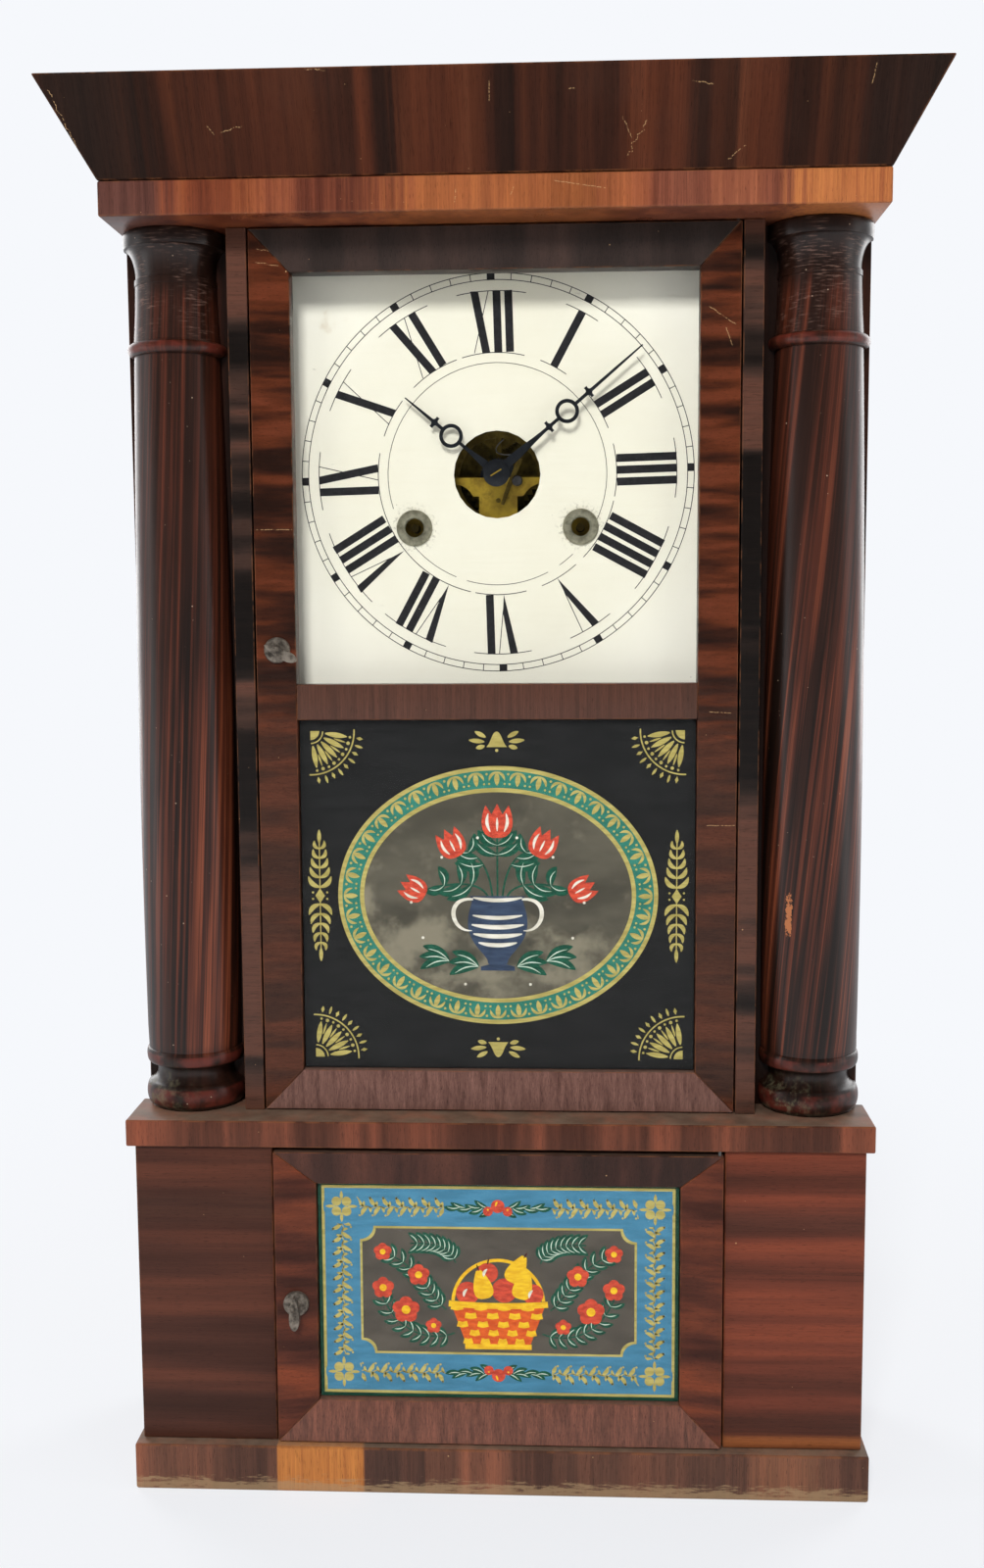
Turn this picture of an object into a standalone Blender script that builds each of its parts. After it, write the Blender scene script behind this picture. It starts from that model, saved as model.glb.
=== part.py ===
"""Column and cornice shelf clock, weight driven, with two glazed doors.

Metres, +Z up, front towards -Y. The origin is the centre of the foot of the bounding box.
"""

import math

import bmesh
import bpy
from mathutils import Matrix, Vector

NAME = "column_and_cornice_clock"
GAP = 0.0003
WELD = 0.000005
TURNING_WELD = 0.00001

# Case carcass
CASE_WIDTH = 0.444
CASE_DEPTH = 0.130
SIDE_BOARD = 0.016
BACK_BOARD = 0.012
PANEL_BOARD = 0.012
BOTTOM_BOARD = 0.012
TOP_BOARD = 0.012
TOP_BOARD_DROP = 0.004

# Plinth, base box and shelf
PLINTH_HEIGHT = 0.0296
PLINTH_SIDE_REACH = 0.00375
PLINTH_FRONT_REACH = 0.0075
PLINTH_BOARD = 0.0195
BASE_HEIGHT = 0.1889
SHELF_THICKNESS = 0.0165
SHELF_SIDE_REACH = 0.0045
SHELF_FRONT_REACH = 0.0043

# Upper case, crown rail and cornice
UPPER_HEIGHT = 0.5312
RECESS_SETBACK = 0.0407
POST_SETBACK = 0.0178
POST_WIDTH = 0.012
POST_BEHIND_DIAL = 0.013
CROWN_THICKNESS = 0.0195
CROWN_FRONT_REACH = 0.0123
CROWN_SIDE_REACH = 0.0016
CORNICE_HEIGHT = 0.0507
CORNICE_FLARE = 0.0272
CORNICE_BOARD = 0.012
CORNICE_BACK_DROP = 0.010

# Half columns: radii and heights of the turning
COLUMN_INSET = 0.030
COLUMN_TO_POST = 0.004
COLUMN_SHAFT_FOOT = 0.0293
COLUMN_SHAFT_NECK = 0.0260
COLUMN_SHAFT_SWELL = 0.0020
COLUMN_NECKING = 0.0245
COLUMN_CAPITAL = 0.0310
COLUMN_SWEEP = 0.0240
COLUMN_SCOTIA = 0.0240
COLUMN_SCOTIA_LIP = 0.0270
COLUMN_TORUS = 0.0310
COLUMN_UPPER_TORUS = 0.0305
COLUMN_ASTRAGAL = 0.0300
COLUMN_ABACUS_HEIGHT = 0.009
COLUMN_SWEEP_HEIGHT = 0.0175
COLUMN_FILLET_HEIGHT = 0.004
COLUMN_NECKING_HEIGHT = 0.033
COLUMN_ASTRAGAL_HEIGHT = 0.008
COLUMN_UPPER_TORUS_HEIGHT = 0.009
COLUMN_SCOTIA_HEIGHT = 0.012
COLUMN_TORUS_HEIGHT = 0.0155
COLUMN_STEPS = 24

# Upper door
DOOR_CLEARANCE = 0.001
DOOR_THICKNESS = 0.016
UPPER_STILE = 0.0235
UPPER_TOP_RAIL = 0.0247
UPPER_MID_RAIL = 0.0215
UPPER_BOTTOM_RAIL = 0.0240
UPPER_TABLET_HEIGHT = 0.217
GLASS_THICKNESS = 0.002
GLASS_SETBACK = 0.006

# Lower door
LOWER_DOOR_WIDTH = 0.273
LOWER_DOOR_PROUD = 0.0035
LOWER_DOOR_THICKNESS = 0.0155
LOWER_DOOR_TOP_CLEARANCE = 0.003
LOWER_STILE = 0.0255
LOWER_TOP_RAIL = 0.0205
LOWER_BOTTOM_RAIL = 0.0260

# Hinge pins and catches
PIN_RADIUS = 0.001
PIN_LENGTH = 0.0075
PIN_INSET = 0.0024
PIN_SETBACK = 0.0020
CATCH_INSET = 0.0125
UPPER_CATCH_RISE = 0.284
LOWER_CATCH_RISE = 0.0899
CATCH_PLATE_RADIUS = 0.0078
CATCH_PLATE_THICKNESS = 0.0012
CATCH_SHAFT_RADIUS = 0.002
CATCH_BOSS_RADIUS = 0.003
CATCH_DOME_RADIUS = 0.00624
CATCH_STANDOFF = 0.0022
CATCH_KNOB_REACH = 0.0145
CATCH_KNOB_TAIL = 0.0075
CATCH_KNOB_WIDTH = 0.0055
CATCH_KNOB_THICKNESS = 0.0045
CATCH_TONGUE_LENGTH = 0.017
CATCH_TONGUE_WIDTH = 0.006
CATCH_TONGUE_THICKNESS = 0.002
UPPER_KNOB_ANGLE = 117.0
LOWER_KNOB_ANGLE = 180.0
MORTISE_DEPTH = 0.006
MORTISE_REACH = 0.005
MORTISE_RISE = 0.005
MORTISE_DROP = 0.015

# Dial and its cleats
DIAL_TO_BOARD = 0.065
DIAL_THICKNESS = 0.0012
DIAL_TOP_MARGIN = 0.0155
DIAL_BOTTOM_MARGIN = 0.0078
DIAL_SIDE_MARGIN = 0.0195
DIAL_RISE = 0.0055
DIAL_HOLE_RADIUS = 0.0265
CLEAT_WIDTH = 0.010
CLEAT_DEPTH = 0.010
WINDING_SPREAD = 0.051
WINDING_DROP = 0.032
GROMMET_RADIUS = 0.011
GROMMET_HOLE = 0.0055
GROMMET_HEIGHT = 0.0025
WINDING_END_SETBACK = 0.002

# Movement plates and mount
FRONT_PLATE_TO_BOARD = 0.050
PLATE_THICKNESS = 0.002
PLATE_SPACE = 0.034
PLATE_HALF_WIDTH = 0.092
PLATE_BELOW = 0.081
PLATE_ABOVE = 0.092
PILLAR_RADIUS = 0.004
PILLAR_INSET = 0.007
STUD_RADIUS = 0.0018
STUD_LENGTH = 0.009
MOUNT_RAIL = 0.014
MOUNT_BAR = 0.006
ARCH_RADIUS = 0.0284
ARCH_SILL = 0.0006
BEARING_LOBE = 0.0062
SCALLOP_RADIUS = 0.0136
SCALLOP_X = 0.028
SCALLOP_DROP = 0.0179
STRAP_HALF_WIDTH = 0.0119
STEP_DROP = 0.0121
SCALLOP_FOOT = 0.045

# Toothed wheels
ADDENDUM = 0.7
DEDENDUM = 1.2
MESH_EASE = 0.0002
OPEN_MESH = 0.0004
WHEEL_THICKNESS = 0.0015
WHEEL_RIM = 0.003
WHEEL_ARMS = 4
WHEEL_ARM_WIDTH = 0.003
PINION_LEAVES = 8
PINION_LENGTH = 0.005
GREAT_TEETH = 56
GREAT_MODULE = 0.0014
GREAT_THICKNESS = 0.0025
SECOND_TEETH = 45
SECOND_MODULE = 0.0012
CENTRE_TEETH = 72
CENTRE_MODULE = 0.0008
CENTRE_BOSS = 0.006
THIRD_TEETH = 48
THIRD_MODULE = 0.0006
CANNON_LEAVES = 12
CANNON_MODULE = 0.0006
MINUTE_WHEEL_TEETH = 36
MINUTE_PINION_LEAVES = 10
HOUR_WHEEL_TEETH = 40
ARBOR_RADIUS = 0.0012
ARBOR_CLEARANCE = 0.0003
WINDING_ARBOR_RADIUS = 0.0025
CENTRE_ARBOR_RADIUS = 0.0014
DRUM_RADIUS = 0.0128
DRUM_FLANGE = 0.0158
DRUM_FLANGE_THICKNESS = 0.001
LIFTING_PINS = 8
LIFT_CIRCLE = 0.022
LIFT_PIN_LENGTH = 0.002
LIFT_PIN_RADIUS = 0.0007

# Planes of the wheels, counted back from the front plate's inner face
HOUR_WHEEL_PLANE = 0.0006
CANNON_PLANE = 0.0027
DRUM_PLANE = 0.003
ESCAPE_PLANE = 0.0035
CENTRE_PLANE = 0.008
THIRD_PLANE = 0.014
FLY_PLANE = 0.016
GREAT_PLANE = 0.023
SECOND_PLANE = 0.0285

# Escapement, fly and pendulum
ESCAPE_TEETH = 32
ESCAPE_RADIUS = 0.014
ESCAPE_TOOTH_DEPTH = 0.003
ESCAPE_RAKE = 1.0
VERGE_RISE = 0.0197
PALLET_CLEARANCE = 0.0022
PALLET_ANGLE = 52.0
PALLET_THICKNESS = 0.001
VERGE_WEB_HALF = 0.0018
CRUTCH_DROP = 0.032
CRUTCH_WIDTH = 0.003
CRUTCH_THICKNESS = 0.0014
FORK_REACH = 0.006
FORK_PRONG = 0.0012
FORK_CLEARANCE = 0.00045
SUSPENSION_RISE = 0.008
ROD_SPACE = 0.004
ROD_WIDTH = 0.0024
ROD_THICKNESS = 0.0016
EYE_RADIUS = 0.0042
BOB_DROP = 0.273
BOB_RADIUS = 0.028
BOB_THICKNESS = 0.009
BOB_EDGE = 0.003
BOB_SHOULDER = 0.85
NUT_WIDTH = 0.007
NUT_HEIGHT = 0.003
FLY_X = 0.026
FLY_RISE = 0.043
FLY_LENGTH = 0.010
FLY_RADIUS = 0.008
FLY_THICKNESS = 0.0008

# Hammer and gong
HAMMER_X = 0.052
HAMMER_DROP = 0.0755
HAMMER_WIRE = 0.002
HAMMER_ARM_SETBACK = 0.0008
HAMMER_HEAD_RADIUS = 0.006
HAMMER_HEAD_LENGTH = 0.009
HAMMER_TAIL_CLEARANCE = 0.0035
HAMMER_STRIKE_GAP = 0.0045
GONG_HEIGHT = 0.150
GONG_TURNS = 3.25
GONG_WIRE = 0.0022
GONG_BLOCK_FOOT = 0.014
GONG_BLOCK_HEAD = 0.0065
GONG_TURN_POINTS = 14

# Weights, cords and pulleys
WEIGHT_TO_SIDE = 0.005
WEIGHT_TO_POST = 0.004
WEIGHT_CLEARANCE = 0.0053
WEIGHT_HEIGHT = 0.190
WEIGHT_BEVEL = 0.004
WEIGHT_TOP_DROP = 0.141
LOOP_RADIUS = 0.0055
LOOP_WIRE = 0.0013
CORD_RADIUS = 0.0009
PULLEY_GROOVE = 0.0108
PULLEY_RIM = 0.0145
PULLEY_WIDTH = 0.008
PULLEY_DROP = 0.0287
PULLEY_AXLE = 0.0018
BRACKET_WIDTH = 0.009
BRACKET_SHEET = 0.0015
BRACKET_CLEARANCE = 0.0006

# Hands
MINUTE_HAND_TO_BOARD = 0.075
HOUR_HAND_TO_BOARD = 0.071
MINUTE_HAND_LENGTH = 0.1156
MINUTE_HAND_ANGLE = 49.6
MINUTE_RING_AT = 0.0562
MINUTE_CROSSES = (0.0420, 0.0735)
MINUTE_WAIST_AT = 0.018
MINUTE_WAIST_HALF = 0.0030
HOUR_HAND_LENGTH = 0.072
HOUR_HAND_ANGLE = 309.6
HOUR_RING_AT = 0.0359
HOUR_CROSSES = (0.0488,)
HOUR_WAIST_AT = 0.010
HOUR_WAIST_HALF = 0.0025
HAND_SHEET = 0.0009
HAND_BOSS = 0.005
HAND_STEM = 0.0009
HAND_TIP = 0.0002
HAND_RING_OUTER = 0.0072
HAND_RING_INNER = 0.0050
HAND_CROSS_REACH = 0.0033
HAND_CROSS_HALF = 0.0010
HUB_RADIUS = 0.008
HUB_THICKNESS = 0.0016
CANNON_OUTER = 0.0025
HOUR_PIPE_OUTER = 0.0036

# Planes and heights that follow from the sizes
FACE = (CROWN_FRONT_REACH + CORNICE_FLARE - CASE_DEPTH) / 2
BACK = FACE + CASE_DEPTH
BOARD_FACE = BACK - BACK_BOARD
HALF_CASE = CASE_WIDTH / 2
INNER_HALF = HALF_CASE - SIDE_BOARD
PLINTH_INNER = HALF_CASE + PLINTH_SIDE_REACH - PLINTH_BOARD - GAP
RECESS = FACE + RECESS_SETBACK
RECESS_BACK = RECESS + PANEL_BOARD
POST_FACE = FACE + POST_SETBACK
SHELF_BOTTOM = PLINTH_HEIGHT + BASE_HEIGHT
SHELF_TOP = SHELF_BOTTOM + SHELF_THICKNESS
CROWN_BOTTOM = SHELF_TOP + UPPER_HEIGHT
CROWN_TOP = CROWN_BOTTOM + CROWN_THICKNESS
TOP = CROWN_TOP + CORNICE_HEIGHT
TOP_BOARD_BOTTOM = CROWN_TOP - TOP_BOARD - TOP_BOARD_DROP
COLUMN_AXIS_X = HALF_CASE - COLUMN_INSET
POST_OUTER = COLUMN_AXIS_X - COLUMN_TORUS - COLUMN_TO_POST
POST_INNER = POST_OUTER - POST_WIDTH
UPPER_HALF = POST_INNER - DOOR_CLEARANCE
UPPER_BOTTOM = SHELF_TOP + DOOR_CLEARANCE
UPPER_TOP = CROWN_BOTTOM - DOOR_CLEARANCE
UPPER_OPENING_HALF = UPPER_HALF - UPPER_STILE
TABLET_BOTTOM = UPPER_BOTTOM + UPPER_BOTTOM_RAIL
TABLET_TOP = TABLET_BOTTOM + UPPER_TABLET_HEIGHT
OPENING_BOTTOM = TABLET_TOP + UPPER_MID_RAIL
OPENING_TOP = UPPER_TOP - UPPER_TOP_RAIL
LOWER_HALF = LOWER_DOOR_WIDTH / 2
LOWER_FACE = FACE - LOWER_DOOR_PROUD
LOWER_BOTTOM = PLINTH_HEIGHT + DOOR_CLEARANCE
LOWER_TOP = SHELF_BOTTOM - LOWER_DOOR_TOP_CLEARANCE
DIAL_Z = (OPENING_BOTTOM + OPENING_TOP) / 2 + DIAL_RISE
DIAL_FACE = BOARD_FACE - DIAL_TO_BOARD
POST_BACK = DIAL_FACE + POST_BEHIND_DIAL
FRONT_PLATE = BOARD_FACE - FRONT_PLATE_TO_BOARD
INNER_FACE = FRONT_PLATE + PLATE_THICKNESS
BACK_PLATE = INNER_FACE + PLATE_SPACE
PLATE_REAR = BACK_PLATE + PLATE_THICKNESS
CORD_Y = INNER_FACE + (DRUM_PLANE + GREAT_PLANE) / 2
WEIGHT_WIDTH = INNER_HALF - POST_OUTER - WEIGHT_TO_SIDE - WEIGHT_TO_POST
WEIGHT_ROOM = min(CORD_Y - RECESS_BACK, BOARD_FACE - CORD_Y)
WEIGHT_DEPTH = 2 * (WEIGHT_ROOM - WEIGHT_CLEARANCE)
WEIGHT_X = INNER_HALF - WEIGHT_TO_SIDE - WEIGHT_WIDTH / 2

# Finishes: colour, roughness, metallic
VENEER = ((0.16, 0.045, 0.025), 0.35, 0.0)
DARK_VENEER = ((0.09, 0.03, 0.02), 0.35, 0.0)
PINE = ((0.42, 0.27, 0.14), 0.75, 0.0)
GRAINED_PAINT = ((0.07, 0.02, 0.015), 0.25, 0.0)
DIAL_PAINT = ((0.86, 0.83, 0.70), 0.5, 0.0)
BRASS = ((0.62, 0.45, 0.16), 0.35, 1.0)
STEEL = ((0.30, 0.30, 0.32), 0.4, 1.0)
BLUED_STEEL = ((0.04, 0.045, 0.06), 0.35, 1.0)
IRON = ((0.10, 0.09, 0.085), 0.7, 0.6)
CORD = ((0.36, 0.28, 0.18), 0.9, 0.0)
CLEAR_GLASS = ((0.80, 0.85, 0.83), 0.05, 0.0)
PAINTED_GLASS = ((0.03, 0.03, 0.03), 0.1, 0.0)
BLUE_GLASS = ((0.10, 0.24, 0.36), 0.1, 0.0)


def clear_scene():
    """Remove every object that the scene starts with."""
    for old in list(bpy.data.objects):
        bpy.data.objects.remove(old, do_unlink=True)


def new_collection(name):
    """Make a collection in the scene."""
    made = bpy.data.collections.new(name)
    bpy.context.scene.collection.children.link(made)
    return made


clear_scene()
PARTS = new_collection(NAME)
CUTTERS = new_collection("cutters")


def finish(obj, look):
    """Give an object its own Principled material from a (colour, roughness, metallic) look."""
    colour, roughness, metallic = look
    made = bpy.data.materials.new(obj.name)
    made.use_nodes = True
    shader = made.node_tree.nodes["Principled BSDF"]
    shader.inputs["Base Color"].default_value = (*colour, 1.0)
    shader.inputs["Roughness"].default_value = roughness
    shader.inputs["Metallic"].default_value = metallic
    obj.data.materials.clear()
    obj.data.materials.append(made)
    return obj


def link(name, data):
    """Put a new object in the clock's collection."""
    made = bpy.data.objects.new(name, data)
    PARTS.objects.link(made)
    return made


# Ways of making a solid


def board(name, x0, x1, y0, y1, z0, z1, look):
    """A square board between two corners."""
    solid = bmesh.new()
    bmesh.ops.create_cube(solid, size=1.0)
    bmesh.ops.scale(solid, vec=(x1 - x0, y1 - y0, z1 - z0), verts=solid.verts)
    mesh = bpy.data.meshes.new(name)
    solid.to_mesh(mesh)
    solid.free()
    made = link(name, mesh)
    made.location = ((x0 + x1) / 2, (y0 + y1) / 2, (z0 + z1) / 2)
    return finish(made, look)


def flat(name, outlines, thickness, look):
    """A flat curve of an outline and its holes, with a thickness."""
    curve = bpy.data.curves.new(name, "CURVE")
    curve.dimensions = "2D"
    curve.fill_mode = "BOTH"
    curve.extrude = thickness / 2
    for outline in outlines:
        spline = curve.splines.new("POLY")
        spline.points.add(len(outline) - 1)
        for point, (u, v) in zip(spline.points, outline):
            point.co = (u, v, 0.0, 1.0)
        spline.use_cyclic_u = True
    return finish(link(name, curve), look)


def front_sheet(name, outlines, y0, y1, look, centre=(0.0, 0.0)):
    """A sheet drawn as (x, z) about a centre, from y0 back to y1."""
    made = flat(name, outlines, y1 - y0, look)
    made.rotation_euler = (math.pi / 2, 0.0, 0.0)
    made.location = (centre[0], (y0 + y1) / 2, centre[1])
    return made


def side_sheet(name, outlines, x0, x1, look, centre=(0.0, 0.0)):
    """A sheet drawn as (y, z) about a centre, from x0 across to x1."""
    made = flat(name, outlines, x1 - x0, look)
    made.rotation_euler = (math.pi / 2, 0.0, math.pi / 2)
    made.location = ((x0 + x1) / 2, centre[0], centre[1])
    return made


def plan_sheet(name, outlines, z0, z1, look):
    """A sheet drawn as (x, y), from z0 up to z1."""
    made = flat(name, outlines, z1 - z0, look)
    made.location = (0.0, 0.0, (z0 + z1) / 2)
    return made


def spun(name, points, steps, look, closed=False):
    """A turning about Z, from (z, radius) points that run from the top down the outside."""
    mesh = bpy.data.meshes.new(name)
    edges = [(k, k + 1) for k in range(len(points) - 1)]
    if closed:
        edges.append((len(points) - 1, 0))
    mesh.from_pydata([(radius, 0.0, z) for z, radius in points], edges, [])
    made = link(name, mesh)
    spin = made.modifiers.new("turn", "SCREW")
    spin.axis = "Z"
    spin.angle = 2 * math.pi
    spin.steps = steps
    spin.render_steps = steps
    spin.use_merge_vertices = True
    spin.merge_threshold = TURNING_WELD
    return finish(made, look)


def turned(name, points, steps, look, centre, closed=False):
    """A turning about an axis along Y, from (y, radius) points that run front to back."""
    made = spun(name, [(-y, radius) for y, radius in points], steps, look, closed)
    made.rotation_euler = (math.pi / 2, 0.0, 0.0)
    made.location = (centre[0], 0.0, centre[1])
    return made


def arbor(name, centre, front, back, radius, look=STEEL, steps=10):
    """A plain round shaft along Y."""
    return turned(name, [(front, 0.0), (front, radius), (back, radius), (back, 0.0)], steps, look, centre)


def peg(name, x, y, z0, z1, radius):
    """A plain round pin along Z."""
    made = spun(name, [(z1, 0.0), (z1, radius), (z0, radius), (z0, 0.0)], 10, STEEL)
    made.location = (x, y, 0.0)
    return made


def tube(name, points, radius, look):
    """A wire or a cord along points."""
    curve = bpy.data.curves.new(name, "CURVE")
    curve.dimensions = "3D"
    curve.bevel_depth = radius
    curve.bevel_resolution = 1
    curve.use_fill_caps = True
    spline = curve.splines.new("POLY")
    spline.points.add(len(points) - 1)
    for point, where in zip(spline.points, points):
        point.co = (*where, 1.0)
    return finish(link(name, curve), look)


def as_mesh(obj):
    """Turn a curve, or an object with modifiers, into a plain mesh object of the same name."""
    bpy.context.view_layer.update()
    graph = bpy.context.evaluated_depsgraph_get()
    mesh = bpy.data.meshes.new_from_object(obj.evaluated_get(graph))
    solid = bmesh.new()
    solid.from_mesh(mesh)
    bmesh.ops.remove_doubles(solid, verts=solid.verts, dist=WELD)
    solid.to_mesh(mesh)
    solid.free()
    name = obj.name
    matrix = obj.matrix_world.copy()
    bpy.data.objects.remove(obj, do_unlink=True)
    made = link(name, mesh)
    made.matrix_world = matrix
    return made


def combine(body, pieces, operation):
    """Boolean each piece with a body, and put the pieces with the cutters."""
    solid = as_mesh(body)
    for piece in pieces:
        tool = as_mesh(piece)
        PARTS.objects.unlink(tool)
        CUTTERS.objects.link(tool)
        tool.hide_render = True
        tool.display_type = "WIRE"
        step = solid.modifiers.new(operation.lower(), "BOOLEAN")
        step.operation = operation
        step.object = tool
        step.solver = "EXACT"
    return solid


def fuse(body, *pieces):
    """Join pieces on to a body as one solid."""
    return combine(body, pieces, "UNION")


def cut(body, *pieces):
    """Cut pieces out of a body."""
    return combine(body, pieces, "DIFFERENCE")


def hang_on(name, location, *pieces):
    """Parent pieces to an empty on their joint's axis, and leave them where they stand."""
    axis = link(name, None)
    axis.location = location
    for piece in pieces:
        piece.parent = axis
        piece.matrix_parent_inverse = Matrix.Translation(-Vector(location))


# Outlines


def arc(x, z, radius, start, end, steps):
    """Points on a circle from one angle to another, in degrees."""
    angles = [math.radians(start + (end - start) * k / steps) for k in range(steps + 1)]
    return [(x + radius * math.cos(a), z + radius * math.sin(a)) for a in angles]


def circle(x, z, radius, steps=12):
    """A closed ring of points."""
    return arc(x, z, radius, 0.0, 360.0, steps)[:-1]


def rectangle(x0, x1, z0, z1):
    """A closed rectangle of points."""
    return [(x0, z0), (x1, z0), (x1, z1), (x0, z1)]


def turn_outline(points, degrees):
    """Turn points clockwise, as seen from the front."""
    a = math.radians(degrees)
    return [(x * math.cos(a) + z * math.sin(a), z * math.cos(a) - x * math.sin(a)) for x, z in points]


def mirror(point):
    """The same place on the other side."""
    return (-point[0], point[1])


# Case


def build_base():
    """Plinth, bottom board, fixed front panels and shelf."""
    reach = HALF_CASE + PLINTH_SIDE_REACH
    front = FACE - PLINTH_FRONT_REACH
    seam = FACE + PLINTH_BOARD
    inner = reach - PLINTH_BOARD
    plan_sheet("plinth", [[(-reach, front), (reach, front), (reach, BACK), (inner, BACK), (inner, seam),
                           (-inner, seam), (-inner, BACK), (-reach, BACK)]], 0.0, PLINTH_HEIGHT - GAP, VENEER)
    floor_top = PLINTH_HEIGHT - GAP
    board("bottom_board", -PLINTH_INNER, PLINTH_INNER, seam + GAP, BOARD_FACE - GAP,
          floor_top - BOTTOM_BOARD, floor_top, PINE)
    edge = LOWER_HALF + DOOR_CLEARANCE
    panel_top = SHELF_BOTTOM - GAP
    board("base_panel_left", -HALF_CASE, -edge, FACE, FACE + PANEL_BOARD, PLINTH_HEIGHT, panel_top, VENEER)
    board("base_panel_right", edge, HALF_CASE, FACE, FACE + PANEL_BOARD, PLINTH_HEIGHT, panel_top, VENEER)
    shelf = HALF_CASE + SHELF_SIDE_REACH
    board("shelf", -shelf, shelf, FACE - SHELF_FRONT_REACH, RECESS - GAP, SHELF_BOTTOM, SHELF_TOP, VENEER)


def build_carcass():
    """Sides, back, recessed front frame and top board."""
    top = CROWN_TOP - GAP
    low_front = FACE + PANEL_BOARD + GAP
    high_front = RECESS_BACK + GAP
    rear = BOARD_FACE - GAP
    step = SHELF_BOTTOM - GAP
    outline = [(low_front, PLINTH_HEIGHT), (rear, PLINTH_HEIGHT), (rear, top), (high_front, top),
               (high_front, step), (low_front, step)]
    side_sheet("case_side_left", [outline], -HALF_CASE, -INNER_HALF, DARK_VENEER)
    side_sheet("case_side_right", [outline], INNER_HALF, HALF_CASE, DARK_VENEER)
    cap = HALF_CASE + CROWN_SIDE_REACH - CORNICE_BOARD - GAP
    half = [(PLINTH_INNER, 0.0), (PLINTH_INNER, PLINTH_HEIGHT), (HALF_CASE, PLINTH_HEIGHT), (HALF_CASE, top),
            (cap, top), (cap, TOP - CORNICE_BACK_DROP)]
    back = half + [mirror(point) for point in reversed(half)]
    front_sheet("backboard", [back], BOARD_FACE, BACK, PINE)
    inner = POST_OUTER + GAP
    bottom = SHELF_BOTTOM
    header = CROWN_BOTTOM + GAP
    front_sheet("recess_frame", [[(-HALF_CASE, bottom), (-inner, bottom), (-inner, header), (inner, header),
                                  (inner, bottom), (HALF_CASE, bottom), (HALF_CASE, top), (-HALF_CASE, top)]],
                RECESS, RECESS_BACK, DARK_VENEER)
    wide = INNER_HALF - GAP
    board("top_board", -wide, wide, high_front, rear, TOP_BOARD_BOTTOM, TOP_BOARD_BOTTOM + TOP_BOARD, PINE)


def build_posts():
    """Posts that the upper door closes between, each with a cleat that holds the dial."""
    bottom = SHELF_TOP + GAP
    top = CROWN_BOTTOM - GAP
    cleat_front = DIAL_FACE + DIAL_THICKNESS + GAP
    cleat_bottom = OPENING_BOTTOM - DIAL_BOTTOM_MARGIN
    cleat_top = OPENING_TOP + DIAL_TOP_MARGIN
    for side, name in ((-1, "door_post_left"), (1, "door_post_right")):
        x0, x1 = sorted((side * POST_INNER, side * POST_OUTER))
        upright = board(name, x0, x1, POST_FACE, POST_BACK, bottom, top, VENEER)
        x0, x1 = sorted((side * (POST_INNER - CLEAT_WIDTH), side * (POST_INNER + POST_WIDTH / 2)))
        cleat = board("cleat", x0, x1, cleat_front, cleat_front + CLEAT_DEPTH, cleat_bottom, cleat_top, PINE)
        whole = fuse(upright, cleat)
        if side < 0:
            z = SHELF_TOP + UPPER_CATCH_RISE
            face = POST_FACE + DOOR_THICKNESS
            cut(whole, board("mortise", -POST_INNER - MORTISE_DEPTH, DOOR_CLEARANCE - POST_INNER, face,
                             face + MORTISE_REACH, z - MORTISE_DROP, z + MORTISE_RISE, PINE))


def bead(bottom, top, foot, reach, steps):
    """A rounded ring between two heights, from the top down, without its two ends."""
    middle = (bottom + top) / 2
    half = (top - bottom) / 2
    angles = [math.pi / 2 - math.pi * k / steps for k in range(1, steps)]
    return [(middle + half * math.sin(a), foot + (reach - foot) * math.cos(a)) for a in angles]


def cove(bottom, top, low, high, steps):
    """A hollow that flares upwards, from the top down."""
    angles = [math.pi / 2 * (1 - k / steps) for k in range(steps + 1)]
    return [(bottom + (top - bottom) * math.sin(a), high - (high - low) * math.cos(a)) for a in angles]


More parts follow.
